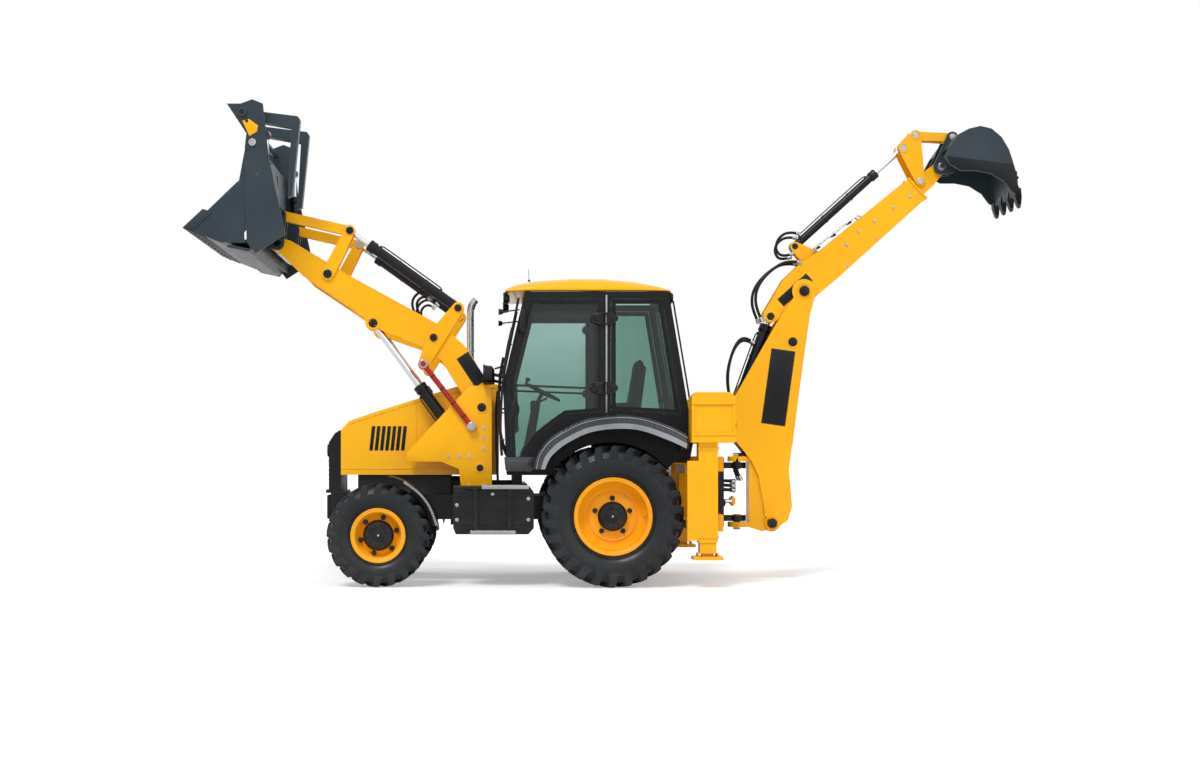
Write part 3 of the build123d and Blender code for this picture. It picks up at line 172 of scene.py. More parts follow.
def makeWearGroup():
    # colour drift, rubbed edges, settled dust, roughness and the fine relief of a sprayed or cast skin
    group = bpy.data.node_groups.new("weatheredSkin", "ShaderNodeTree")
    for name, value in wearSettings["inputs"].items():
        kind = "NodeSocketColor" if isinstance(value, tuple) else "NodeSocketFloat"
        group.interface.new_socket(name=name, in_out="INPUT", socket_type=kind).default_value = value
    for name, kind in wearSettings["outputs"].items():
        group.interface.new_socket(name=name, in_out="OUTPUT", socket_type="NodeSocket" + kind)
    given = group.nodes.new("NodeGroupInput").outputs
    end = group.nodes.new("NodeGroupOutput")
    place = addNode(group, "TexCoord").outputs["Object"]
    normal = addNode(group, "NewGeometry").outputs["Normal"]
    drift = noiseNode(group, place, given["Drift Scale"], 5)
    patch = noiseNode(group, place, 9.0, 6, 0.65)
    grain = noiseNode(group, place, given["Grain Scale"], 3)
    scratch = addNode(group, "Mapping", {"Scale": wearSettings["scratchScale"], "Vector": place,
                                         "Rotation": wearSettings["scratchTurn"]}).outputs[0]
    scuff = spread(group, noiseNode(group, scratch, 2.6, 7, 0.7), 0.62, 0.72)

    soft = addNode(group, "Bevel", {"Radius": wearSettings["edgeRadius"]}, samples=4)
    turn = addNode(group, "VectorMath", {0: soft.outputs[0], 1: normal}, operation="DOT_PRODUCT")
    edge = spread(group, turn.outputs["Value"], 0.998, 0.93)
    broken = mathNode(group, "MULTIPLY", edge, spread(group, patch, 0.40, 0.60))
    edge = mathNode(group, "MULTIPLY", broken, given["Edge Amount"], True)

    low = spread(group, addNode(group, "SeparateXYZ", {0: place}).outputs["Z"], 1.1, 0.1)
    lying = spread(group, addNode(group, "SeparateXYZ", {0: normal}).outputs["Z"], 0.3, 1.0, (0.0, 0.7))
    settled = mathNode(group, "MULTIPLY", mathNode(group, "MAXIMUM", low, lying),
                       spread(group, patch, 0.35, 0.7))
    dusty = mathNode(group, "MULTIPLY", settled, given["Dust Amount"], True)

    colour = mixColours(group, spread(group, drift, 0.35, 0.68), given["Base"], given["Deep"])
    colour = mixColours(group, mathNode(group, "MULTIPLY", scuff, 0.12), colour, given["Worn"])
    colour = mixColours(group, edge, colour, given["Worn"])
    colour = mixColours(group, dusty, colour, given["Dust"])
    gloss = spread(group, patch, 0.3, 0.7, (given["Rough Low"], given["Rough High"]))
    rough = mathNode(group, "ADD", gloss, mathNode(group, "MULTIPLY", dusty, 0.4), True)
    rough = mathNode(group, "ADD", rough, mathNode(group, "MULTIPLY", edge, 0.15), True)
    height = mathNode(group, "ADD", grain, mathNode(group, "MULTIPLY", drift, 1.5))
    relief = addNode(group, "Bump", {"Distance": wearSettings["reliefDepth"], "Strength": given["Grain Height"],
                                     "Height": height}).outputs[0]
    fill(group, end.inputs, {"Colour": colour, "Roughness": rough, "Normal": relief})
    return group


# base, deep and worn colours in linear values; rough is low to high; slot is the record's finish
finishSettings = {
    "yellowPaint": dict(base=(0.985, 0.485, 0.001), deep=(0.955, 0.43, 0.001), worn=(0.99, 0.62, 0.06),
                        edge=0.45, rough=(0.26, 0.40), coat=0.12, dust=0.05, slot="yellow_paint"),
    "yellowPanel": dict(base=(0.99, 0.51, 0.001), deep=(0.97, 0.46, 0.001), worn=(0.99, 0.64, 0.08), edge=0.25,
                        rough=(0.18, 0.30), coat=0.2, dust=0.03, slot="yellow_panels"),
    "rimYellow": dict(base=(0.98, 0.43, 0.001), deep=(0.93, 0.36, 0.001), worn=(0.95, 0.55, 0.06), edge=0.4,
                      rough=(0.30, 0.45), coat=0.1, dust=0.08, slot="rim_paint"),
    "slatePaint": dict(base=(0.034, 0.050, 0.062), deep=(0.021, 0.032, 0.041), worn=(0.20, 0.23, 0.25),
                       edge=0.55, rough=(0.34, 0.52), coat=0.1, dust=0.04, slot="slate_paint"),
    "blackPaint": dict(base=(0.004, 0.0045, 0.006), deep=(0.0025, 0.003, 0.004), worn=(0.09, 0.09, 0.09),
                       edge=0.5, rough=(0.24, 0.42), coat=0.08, dust=0.05, shine=0.3, slot="black_paint"),
    "redPaint": dict(base=(0.45, 0.010, 0.008), deep=(0.34, 0.006, 0.006), worn=(0.62, 0.2, 0.14), edge=0.5,
                     rough=(0.25, 0.4), coat=0.4, dust=0.1, slot="red_paint"),
    "castGrey": dict(base=(0.055, 0.055, 0.058), deep=(0.03, 0.03, 0.032), worn=(0.28, 0.27, 0.26), edge=0.6,
                     rough=(0.45, 0.7), grain=(70, 0.5), dust=0.3, slot="cast_grey"),
    "chromeRod": dict(base=(0.78, 0.79, 0.81), deep=(0.66, 0.67, 0.70), worn=(0.9, 0.9, 0.9), edge=0.2,
                      rough=(0.07, 0.16), metal=1.0, grain=(240, 0.02), dust=0.0, slot="rod_chrome"),
    "pinSteel": dict(base=(0.52, 0.52, 0.53), deep=(0.36, 0.36, 0.37), worn=(0.75, 0.75, 0.75), edge=0.6,
                     rough=(0.22, 0.42), metal=1.0, grain=(200, 0.1), dust=0.05, slot="pin_steel"),
    "stackSteel": dict(base=(0.62, 0.62, 0.63), deep=(0.42, 0.41, 0.40), worn=(0.8, 0.8, 0.8), edge=0.3,
                       rough=(0.16, 0.34), metal=1.0, grain=(120, 0.1), dust=0.0, slot="pin_steel"),
    "stepSilver": dict(base=(0.42, 0.43, 0.44), deep=(0.30, 0.31, 0.32), worn=(0.72, 0.72, 0.72), edge=0.7,
                       rough=(0.3, 0.5), metal=0.9, grain=(120, 0.3), dust=0.12, slot="pin_steel"),
    "tyreRubber": dict(base=(0.006, 0.0085, 0.0115), deep=(0.0035, 0.005, 0.007), worn=(0.045, 0.055, 0.062),
                       edge=0.5, rough=(0.30, 0.44), grain=(130, 0.2), dust=0.02, shine=0.45,
                       slot="tyre_rubber"),
    "treadRubber": dict(base=(0.026, 0.031, 0.035), deep=(0.016, 0.019, 0.022), worn=(0.075, 0.085, 0.092),
                        edge=0.5, rough=(0.62, 0.80), grain=(130, 0.4), dust=0.05, shine=0.2,
                        slot="tyre_rubber"),
    "darkPanel": dict(base=(0.008, 0.009, 0.011), deep=(0.005, 0.0055, 0.007), worn=(0.06, 0.06, 0.06),
                      edge=0.35, rough=(0.34, 0.55), grain=(220, 0.35), dust=0.10, slot="dark_panels"),
    "fenderGrey": dict(base=(0.060, 0.066, 0.074), deep=(0.036, 0.040, 0.046), worn=(0.22, 0.22, 0.23),
                       edge=0.4, rough=(0.22, 0.34), metal=0.75, coat=0.3, grain=(200, 0.1), dust=0.03,
                       shine=0.5, slot="fender_grey"),
    # painted reflection: silver for the strips that stand in for the fenders' sheen
    "fenderSheenSilver": dict(base=(0.36, 0.38, 0.40), deep=(0.22, 0.24, 0.26), worn=(0.6, 0.6, 0.6), edge=0.3,
                         rough=(0.24, 0.36), metal=0.85, coat=0.3, grain=(200, 0.08), dust=0.02, shine=0.5,
                         slot="fender_grey"),
    "hoseRubber": dict(base=(0.010, 0.010, 0.011), deep=(0.006, 0.006, 0.006), worn=(0.07, 0.07, 0.07),
                       edge=0.2, rough=(0.35, 0.55), grain=(300, 0.4), dust=0.05, slot="black_paint"),
    "blankTile": dict(base=(0.010, 0.010, 0.012), deep=(0.007, 0.007, 0.008), worn=(0.06, 0.06, 0.06), edge=0.2,
                      rough=(0.2, 0.3), coat=0.4, dust=0.05, slot="black_paint"),
    "cabPlastic": dict(base=(0.030, 0.031, 0.033), deep=(0.020, 0.020, 0.022), worn=(0.11, 0.11, 0.11),
                       edge=0.3, rough=(0.45, 0.65), grain=(260, 0.5), dust=0.05, slot="cab_fabric"),
}
finishes = {}
glassLook = {"ior": 1.45, "cloud": 2.2, "foot": (1.45, 2.75), "rear": (-0.25, 0.10)}


def newPaint(name, slotName):
    # an empty finish, kept under its name with the record's slot that it stands for
    paint = bpy.data.materials.new(name)
    paint.use_nodes = True
    paint["recordSlot"] = slotName
    finishes[name] = paint
    return paint.node_tree, paint.node_tree.nodes["Principled BSDF"].inputs


def makeFinish(name, look, group):
    tree, inputs = newPaint(name, look["slot"])
    grainScale, grainHeight = look.get("grain", (160, 0.08))
    skin = addNode(tree, "Group", {
        "Base": (*look["base"], 1), "Deep": (*look["deep"], 1), "Worn": (*look["worn"], 1),
        "Edge Amount": look["edge"], "Dust Amount": look["dust"], "Rough Low": look["rough"][0],
        "Rough High": look["rough"][1], "Grain Scale": grainScale, "Grain Height": grainHeight,
    }, node_tree=group).outputs
    fill(tree, inputs, {
        "Metallic": look.get("metal", 0.0), "Coat Weight": look.get("coat", 0.0), "Coat Roughness": 0.12,
        "IOR": 1.45, "Specular IOR Level": look.get("shine", 0.25), "Base Color": skin["Colour"],
        "Roughness": skin["Roughness"], "Normal": skin["Normal"],
    })


def makeGlass(name, tint, rough, shadedTint=None):
    # tinted through; painted shade: a darker tint fills in towards the foot and the rear of the panes
    tree, inputs = newPaint(name, "tinted_glass")
    place = addNode(tree, "TexCoord").outputs["Object"]
    cloud = noiseNode(tree, place, glassLook["cloud"], 4)
    colour = mixColours(tree, spread(tree, cloud, 0.35, 0.7), (*tint, 1), (*[0.93 * c for c in tint], 1))
    if shadedTint:
        # painted shade: darker towards the foot and the rear of the panes
        axes = addNode(tree, "SeparateXYZ", {0: place}).outputs
        toFoot = spread(tree, axes["Z"], *glassLook["foot"], (0.85, 0.0))
        toRear = spread(tree, axes["X"], *glassLook["rear"], (0.0, 0.75))
        colour = mixColours(tree, mathNode(tree, "MAXIMUM", toFoot, toRear), colour, (*shadedTint, 1))
    fill(tree, inputs, {"Transmission Weight": 1.0, "IOR": glassLook["ior"], "Base Color": colour,
                        "Roughness": spread(tree, cloud, 0.4, 0.8, (rough, rough + 0.03))})


def makeFabric(name, base, deep, rib):
    # woven seat cloth with piping-wide ribs
    tree, inputs = newPaint(name, "cab_fabric")
    place = addNode(tree, "TexCoord").outputs["Object"]
    threads = [addNode(tree, "TexWave", {"Scale": 130, "Distortion": 0.6, "Vector": place}, wave_type="BANDS",
                       bands_direction=way).outputs["Fac"] for way in ("X", "Y", "Z")]
    weave = mathNode(tree, "MULTIPLY", mathNode(tree, "ADD", threads[0], threads[2]), threads[1])
    fade = noiseNode(tree, place, 7, 5)
    colour = mixColours(tree, spread(tree, weave, 0.2, 1.4), (*deep, 1), (*base, 1))
    colour = mixColours(tree, spread(tree, fade, 0.45, 0.8, (0.0, 0.5)), colour, (*rib, 1))
    relief = addNode(tree, "Bump", {"Strength": 0.5, "Distance": 0.001, "Height": weave}).outputs[0]
    fill(tree, inputs, {"Sheen Weight": 0.35, "Sheen Roughness": 0.4, "Base Color": colour, "Normal": relief,
                        "Roughness": spread(tree, fade, 0.3, 0.7, (0.75, 0.95))})


wearGroup = makeWearGroup()
for finishName, finishLook in finishSettings.items():
    makeFinish(finishName, finishLook, wearGroup)
# the last colour is the painted shade towards the panes' foot and rear
makeGlass("tintedGlass", (0.58, 0.72, 0.70), 0.0, (0.24, 0.42, 0.35))
makeGlass("lampGlass", (0.9, 0.92, 0.92), 0.05)
makeGlass("amberGlass", (0.95, 0.35, 0.02), 0.08)
makeFabric("seatCloth", (0.035, 0.035, 0.038), (0.018, 0.018, 0.02), (0.05, 0.05, 0.055))
print("finishes ready:", len(finishes))

# every carried-over solid gets its finish
solidFinish = {
    "yellow_paint": "yellowPaint", "slate_paint": "slatePaint", "black_paint": "blackPaint",
    "red_paint": "redPaint",
    "rim_paint": "rimYellow", "cast_grey": "castGrey", "rod_chrome": "chromeRod", "pin_steel": "pinSteel",
    "tyre_rubber": "tyreRubber", "dark_panels": "darkPanel", "yellow_panels": "yellowPanel",
    "fender_grey": "fenderGrey", "cab_fabric": "cabPlastic", "tinted_glass": "tintedGlass",
}
slotOfNode = {part["node"]: part["material_slot"] for part in frame["record"]["subparts"]}
for nodeName, solid in frame["nodes"].items():
    solid.data.materials.clear()
    solid.data.materials.append(finishes[solidFinish[slotOfNode[nodeName]]])
print("solids dressed:", len(slotOfNode))


# the modelling kit: each call returns a bmesh in millimetres
def gather(*parts):
    whole = bmesh.new()
    for part in parts:
        holder = bpy.data.meshes.new("holder")
        part.to_mesh(holder)
        part.free()
        whole.from_mesh(holder)
        bpy.data.meshes.remove(holder)
    return whole


def soften(part, width, segments=2, angle=28):
    sharp = [e for e in part.edges if len(e.link_faces) == 2 and e.calc_face_angle(0) > radians(angle)]
    if sharp and width:
        bmesh.ops.bevel(part, geom=sharp, offset=width, offset_type="OFFSET", affect="EDGES", segments=segments,
                        profile=0.5, material=-1, clamp_overlap=True)
    return part


bothSides = (("left", -1), ("right", 1))


def flipped(part):
    # the part moved to the machine's other side
    bmesh.ops.transform(part, matrix=Matrix.Diagonal((1, -1, 1, 1)), verts=part.verts)
    bmesh.ops.reverse_faces(part, faces=part.faces)
    return part


def mirrored(*parts):
    # the parts and their twins on the machine's other side
    part = parts[0] if len(parts) == 1 else gather(*parts)
    return gather(part, flipped(part.copy()))


def turnTo(way):
    # the turn from +Y to a direction
    return Vector((0, 1, 0)).rotation_difference(Vector(way)).to_matrix().to_4x4()


def spanned(a, b):
    # the lower and the higher of two places
    return min(a, b), max(a, b)


def block(low, high, edge=3):
    part = bmesh.new()
    bmesh.ops.create_cube(part, size=1)
    bmesh.ops.scale(part, vec=[b - a for a, b in zip(low, high)], verts=part.verts)
    bmesh.ops.translate(part, vec=[(a + b) / 2 for a, b in zip(low, high)], verts=part.verts)
    return soften(part, edge)


def plate(outline, low, high, edge=2):
    part = bmesh.new()
    face = part.faces.new([part.verts.new((x, low, z)) for x, z in outline])
    grown = bmesh.ops.extrude_face_region(part, geom=[face])
    bmesh.ops.translate(part, vec=(0, high - low, 0),
                        verts=[v for v in grown["geom"] if isinstance(v, bmesh.types.BMVert)])
    bmesh.ops.recalc_face_normals(part, faces=part.faces)
    return soften(part, edge)


def rod(start, end, radius, endRadius=None, sides=24, edge=0):
    part = bmesh.new()
    run = Vector(end) - Vector(start)
    bmesh.ops.create_cone(part, cap_ends=True, segments=sides, radius1=radius,
                          radius2=radius if endRadius is None else endRadius, depth=run.length)
    turn = run.to_track_quat("Z", "Y").to_matrix().to_4x4()
    bmesh.ops.transform(part, matrix=Matrix.Translation(Vector(start) + run / 2) @ turn, verts=part.verts)
    return soften(part, edge, angle=50)


def turned(centre, profile, axis="Y", steps=48):
    # a profile of (radius, distance along the axis) spun right round
    part = bmesh.new()
    ends = [part.verts.new((r, d, 0)) for r, d in profile]
    lines = [part.edges.new(pair) for pair in zip(ends, ends[1:])]
    bmesh.ops.spin(part, geom=ends + lines, cent=(0, 0, 0), axis=(0, 1, 0), angle=2 * pi, steps=steps,
                   use_merge=True)
    bmesh.ops.remove_doubles(part, verts=part.verts, dist=0.01)
    bmesh.ops.recalc_face_normals(part, faces=part.faces)
    if axis != "Y":
        way = {"X": (1, 0, 0), "Z": (0, 0, 1)}[axis] if isinstance(axis, str) else axis
        bmesh.ops.transform(part, matrix=turnTo(way), verts=part.verts)
    bmesh.ops.translate(part, vec=centre, verts=part.verts)
    return part


def bolt(place, size=20, way=(0, -1, 0), tall=None):
    # hexagon head on a washer
    tall = tall or size * 0.6
    washer = turned((0, 0, 0), [(0, -0.6), (size * 0.95, -0.6), (size * 0.95, size * 0.12), (0, size * 0.12)],
                    steps=20)
    head = bmesh.new()
    bmesh.ops.create_cone(head, cap_ends=True, segments=6, radius1=size * 0.72, radius2=size * 0.66, depth=tall)
    bmesh.ops.rotate(head, cent=(0, 0, 0), matrix=Matrix.Rotation(radians(-90), 3, "X"), verts=head.verts)
    bmesh.ops.translate(head, vec=(0, size * 0.12 + tall / 2 - 0.4, 0), verts=head.verts)
    part = gather(washer, soften(head, size * 0.05, 1, 40))
    bmesh.ops.transform(part, matrix=Matrix.Translation(place) @ turnTo(way), verts=part.verts)
    return part


def shifted(part, vec):
    bmesh.ops.translate(part, vec=vec, verts=part.verts)
    return part


def swung(part, centre, degrees, way="Y"):
    bmesh.ops.rotate(part, cent=centre, matrix=Matrix.Rotation(radians(degrees), 3, way), verts=part.verts)
    return part


def strand(points, radius, order=3, sides=5):
    # a smooth tube through the air along control points, as a bmesh
    line = bpy.data.curves.new("strand", "CURVE")
    line.dimensions = "3D"
    line.bevel_depth = radius
    line.bevel_resolution = sides
    line.resolution_u = 6
    line.use_fill_caps = True
    spline = line.splines.new("NURBS")
    spline.points.add(len(points) - 1)
    for knot, place in zip(spline.points, points):
        knot.co = (*place, 1)
    spline.order_u = min(order, len(points))
    spline.use_endpoint_u = True
    holder = bpy.data.objects.new("strand", line)
    mesh = bpy.data.meshes.new_from_object(holder)
    part = bmesh.new()
    part.from_mesh(mesh)
    bpy.data.objects.remove(holder)
    bpy.data.curves.remove(line)
    bpy.data.meshes.remove(mesh)
    return part


def collar(points, radius, atStart=True):
    # the crimped end fitting of a hose, with its nut
    near, far = (points[0], points[1]) if atStart else (points[-1], points[-2])
    way = (Vector(far) - Vector(near)).normalized()
    part = turned((0, 0, 0),
                  [(0, -12), (radius * 0.9, -12), (radius * 0.9, 0), (radius * 1.35, 2), (radius * 1.35, 34),
                   (radius * 1.15, 38), (0, 38)], steps=16)
    nut = bmesh.new()
    bmesh.ops.create_cone(nut, cap_ends=True, segments=6, radius1=radius * 1.6, radius2=radius * 1.6, depth=16)
    bmesh.ops.rotate(nut, cent=(0, 0, 0), matrix=Matrix.Rotation(radians(-90), 3, "X"), verts=nut.verts)
    part = gather(part, soften(nut, 1, 1, 40))
    bmesh.ops.transform(part, matrix=Matrix.Translation(near) @ turnTo(way), verts=part.verts)
    return part


def finishPiece(name, part, body, finish, crease=32, inPlaceOf=()):
    bmesh.ops.transform(part, matrix=machineFrame, verts=part.verts)
    mesh = bpy.data.meshes.new(name)
    part.to_mesh(mesh)
    part.free()
    mesh.shade_smooth()
    mesh.set_sharp_from_angle(angle=radians(crease))
    piece = bpy.data.objects.new(name, mesh)
    bpy.context.scene.collection.objects.link(piece)
    mesh.materials.append(finishes[finish])
    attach(piece, body)
    if inPlaceOf:
        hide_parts(*inPlaceOf)
    return piece


def hoses(name, runs, radius, body, finish="hoseRubber", ends=True):
    # a set of hoses or pipes held along the machine, and their end fittings
    finishPiece(name, gather(*[strand(points, radius) for points in runs]), body, finish, 60)
    if ends:
        fittings = [collar(points, radius, first) for points in runs for first in (True, False)]
        finishPiece(name + "Ends", gather(*fittings), body, "pinSteel")


# the linkages' pivots in x and z
pivot = {
    "armFoot": (-1246, 1717), "liftFoot": (-1263, 1128), "liftEye": (-2306, 2540),
    "leverPivot": (-1715, 2397), "tiltFoot": (-1478, 2685), "tiltEye": (-2531, 3439),
    "linkLow": (-1344, 1530), "linkHigh": (-1814, 2137), "leverPin": (-2747, 3017),
    "bucketPin": (-3232, 3313), "bucketLink": (-3208, 3593), "forkPin": (-3493, 4481),
    "clamFoot": (-3285, 3490), "clamEye": (-3270, 4270), "jawPin": (-3398, 4195), "boomFoot": (1657, 572),
    "boomRamFoot": (1556, 1086), "boomRamEye": (1864, 2387), "dipperRamFoot": (1255, 1556),
    "dipperRamEye": (1648, 2645), "boomTop": (1979, 2897), "bucketRamFoot": (1900, 3355),
    "bucketRamEye": (2983, 4337), "tippingPin": (3149, 4006), "tippingLink": (3104, 4467),
    "dipperNose": (3365, 4149), "digLink": (3476, 4448),
}
boomWay = (pivot["boomFoot"], pivot["boomTop"])
dipperWay = (pivot["boomTop"], pivot["dipperNose"])

# wheels
wheelSettings = {
    "rear": dict(x=0, track=930, radius=672, half=220, rim=372, hub=138, dish=40, lugs=26, lugWidth=60,
                 lugDepth=40, nuts=5, nutRing=173, pressedRing=228),
    "front": dict(x=-2228, track=905, radius=490, half=165, rim=262, hub=145, dish=30, lugs=20, lugWidth=54,
                  lugDepth=34, nuts=6, nutRing=176, pressedRing=0),
}
sidewall = [(0, 0.72), (0.03, 0.80), (0.09, 0.86), (0.115, 0.835), (0.15, 0.875), (0.24, 0.93), (0.33, 0.965),
            (0.44, 0.99), (0.52, 1.0), (0.60, 0.998), (0.70, 0.985), (0.712, 1.0), (0.74, 0.99), (0.76, 0.965),
            (0.88, 0.90), (0.95, 0.82), (1.0, 0.70), (1.005, 0.3)]


def stepped(sections):
    # a solid grown by extruding its first face from section to section
    part = bmesh.new()
    face = part.faces.new([part.verts.new(corner) for corner in sections[0]])
    for section in sections[1:]:
        grown = bmesh.ops.extrude_face_region(part, geom=[face])
        face = next(f for f in grown["geom"] if isinstance(f, bmesh.types.BMFace))
        for vert, corner in zip(face.verts, section):
            vert.co = corner
    bmesh.ops.remove_doubles(part, verts=part.verts, dist=0.01)
    bmesh.ops.recalc_face_normals(part, faces=part.faces)
    return part


def treadBar(look, hand):
    # one bar of the tread, from the middle over the shoulder and down the side
    radius, half, width = look["radius"], look["half"], look["lugWidth"]
    low = radius - look["lugDepth"] - 14
    sections = []
    for across, drift, foot, crown, share, flare in (
            (-0.07, 1.25, low, radius - 1, 0.60, 0.62), (0.34, 0.62, low, radius, 0.74, 0.62),
        (0.70, -0.10, low - 8, radius - 1, 0.84, 0.64),
            (0.88, -0.45, low - 24, radius - 4, 0.90, 0.70),
        (0.96, -0.58, low - radius * 0.10, radius - 18, 0.96, 0.80),
            (1.0, -0.66, low - radius * 0.135, radius - 44, 0.98, 0.84)):
        y = hand * half * across
        middle = drift * width
        sections.append([(middle - width * share * flare, y, foot), (middle - width * share * 0.46, y, crown),
                         (middle + width * share * 0.46, y, crown), (middle + width * share * flare, y, foot)])
    return soften(stepped(sections), 5, 1, 35)


def makeTyre(kind, look):
    shoulder = look["radius"] - look["lugDepth"]
    depth = shoulder - look["rim"]
    outer = [(look["rim"] + depth * out, -look["half"] * wide) for out, wide in sidewall]
    skin = turned((0, 0, 0), outer + [(r, -y) for r, y in reversed(outer)], steps=96)
    bars = []
    for hand in (-1, 1):
        lug = treadBar(look, hand)
        bmesh.ops.rotate(lug, cent=(0, 0, 0),
                         matrix=Matrix.Rotation((0.5 + hand * 0.25) * 2 * pi / look["lugs"], 3, "Y"),
                         verts=lug.verts)
        bmesh.ops.spin(lug, geom=lug.verts[:] + lug.edges[:] + lug.faces[:], cent=(0, 0, 0), axis=(0, 1, 0),
                       angle=2 * pi, steps=look["lugs"], use_duplicate=True, use_merge=False)
        bmesh.ops.remove_doubles(lug, verts=lug.verts, dist=0.01)
        bars.append(lug)
    return skin, gather(*bars)


def makeHub(look):
    # dark hub, its nuts, the dish's pressed ring and the valve, all on the wheel's outer side
    face = -look["dish"] - 60
    hub = look["hub"]
    cap = turned((0, 0, 0),
                 [(0, face - 7), (hub * 0.42, face - 7), (hub * 0.46, face - 4), (hub * 0.5, face - 4),
                  (hub * 0.53, face - 8), (hub * 0.76, face - 8), (hub * 0.80, face - 3), (hub - 20, face - 3),
                  (hub + 2.5, face + 23), (hub + 2.5, face + 58)], steps=64)
    dark = [cap]
    for index in range(look["nuts"]):
        angle = 2 * pi * (index + 0.25) / look["nuts"]
        place = (look["nutRing"] * cos(angle), -look["dish"] + 4, look["nutRing"] * sin(angle))
        dark.append(bolt(place, 26, tall=24))
        dark.append(turned((place[0], -look["dish"] - 14, place[2]), [(0, -12), (9, -12), (10, -9), (10, 2)],
                           steps=16))
    for index in range(look["nuts"] * 2):
        angle = 2 * pi * index / (look["nuts"] * 2)
        dark.append(bolt((hub * 0.65 * cos(angle), face - 7, hub * 0.65 * sin(angle)), 9))
    bright = [turned((0, face - 7, 0), [(0, -4), (9, -4), (11, -2), (11, 2)], steps=24)]
    bright.append(rod((look["rim"] * 0.80, -look["half"] * 0.28, 0),
                      (look["rim"] * 0.83, -look["half"] * 0.62, 0), 5))
    painted = []
    for radius, depth in ((look["rim"] - 9, look["half"] * 0.72 + 13),
                          (look["rim"] - 30, look["half"] * 0.72 + 7)):
        painted.append(turned((0, -depth, 0),
                              [(radius - 6, 3), (radius - 5, -2), (radius, -4), (radius + 5, -2),
                               (radius + 6, 3)], steps=96))
    if look["pressedRing"]:
        ring = look["pressedRing"]
        painted.append(turned((0, -look["dish"] + 12, 0),
                              [(ring - 13, 8), (ring - 8, -4), (ring, -8), (ring + 8, -4), (ring + 13, 8)],
                              steps=96))
    return {"blackPaint": gather(*dark), "stackSteel": gather(*bright), "rimYellow": gather(*painted)}


for kind, look in wheelSettings.items():
    for side, hand in bothSides:
        body = f"{kind}_{side}_wheel"
        centre = (look["x"], hand * look["track"], look["radius"])
        skin, bars = makeTyre(kind, look)
        finishPiece(f"{kind}{side.title()}Tyre", shifted(skin, centre), body, "tyreRubber", 40,
                    (f"{kind}_{side}_tyre",))
        finishPiece(f"{kind}{side.title()}Tread", shifted(bars, centre), body, "treadRubber", 40)
        for finish, part in makeHub(look).items():
            part = flipped(part) if hand > 0 else part
            finishPiece(f"{kind}{side.title()}{finish.title()}", shifted(part, centre), body, finish)
print("wheels ready")

# ends of the linkage pins
pinSettings = {
    "cap": dict(step=5, boltSize=13),
    "leftRight": [
        # body, finish, places as (x, z, outer face y, radius)
        ("chassis", "blackPaint", [(*pivot["armFoot"], -644, 42), (*pivot["liftFoot"], -644, 33)]),
        ("loader_arms", "blackPaint", [(*pivot["liftEye"], -600, 44)]),
        ("level_levers", "blackPaint", [(*pivot["leverPivot"], -634, 36), (*pivot["tiltFoot"], -634, 34),
                                        (*pivot["linkHigh"], -634, 36)]),
        ("level_links", "pinSteel", [(*pivot["linkLow"], -710, 26)]),
        ("lever_pins", "blackPaint", [(*pivot["leverPin"], -634, 42)]),
        ("link_pins", "blackPaint", [(*pivot["tiltEye"], -634, 36)]),
        ("bucket_pins", "blackPaint", [(*pivot["bucketPin"], -642, 42)]),
        ("loader_bucket", "blackPaint", [(*pivot["bucketLink"], -630, 36), (*pivot["forkPin"], -1195, 32)]),
        ("clam_jaw", "pinSteel", [(*pivot["jawPin"], -1189, 35)]),
        ("kingpost", "blackPaint", [(*pivot["boomFoot"], -158, 48), (*pivot["boomRamFoot"], -108, 40)]),
        ("boom", "blackPaint", [(*pivot["boomRamEye"], -138, 46), (*pivot["dipperRamFoot"], -154, 40),
                                (*pivot["boomTop"], -154, 52)]),
        ("dipper", "blackPaint", [(*pivot["dipperRamEye"], -105, 38)]),
        ("extension", "blackPaint", [(*pivot["bucketRamFoot"], -66, 30)]),
        ("extension", "pinSteel", [(*pivot["tippingPin"], -116, 34), (*pivot["dipperNose"], -108, 38)]),
        ("tipping_lever", "pinSteel", [(*pivot["bucketRamEye"], -107, 34), (*pivot["tippingLink"], -107, 34)]),
        ("dig_bucket", "pinSteel", [(*pivot["digLink"], -108, 32)]),
    ],
}


def pinEnd(x, z, face, radius, turn):
    step = pinSettings["cap"]["step"]
    cap = turned((x, face, z),
                 [(0, -step), (radius * 0.55, -step), (radius * 0.62, -step * 0.6), (radius * 0.9, -step * 0.6),
                  (radius, -step * 0.1), (radius, 2), (0, 2)], steps=40)
    away = radius * 0.62
    fastener = bolt((x + away * cos(turn), face - step * 0.5, z + away * sin(turn)),
                    pinSettings["cap"]["boltSize"])
    return gather(cap, fastener)


for index, (body, finish, places) in enumerate(pinSettings["leftRight"]):
    ends = [pinEnd(*place, 0.6 + n + index) for n, place in enumerate(places)]
    finishPiece(f"pinEnds{index:02d}", mirrored(*ends), body, finish)
print("pins ready")


def smoothed(piece, levels=2):
    # live rounding of a cage
    mod = piece.modifiers.new("rounding", "SUBSURF")
    mod.levels = mod.render_levels = levels
    return piece


def creased(part, angle, amount=1.0):
    layer = part.edges.layers.float.get("crease_edge") or part.edges.layers.float.new("crease_edge")
    for edge in part.edges:
        if len(edge.link_faces) == 2 and edge.calc_face_angle(0) > radians(angle):
            edge[layer] = amount
    return part


def alongLine(start, end, distance, offset=0):
    # the point a distance along the line from start to end, and an offset to its left, in x and z
    angle = atan2(end[1] - start[1], end[0] - start[0])
    return (start[0] + distance * cos(angle) - offset * sin(angle),
            start[1] + distance * sin(angle) + offset * cos(angle))


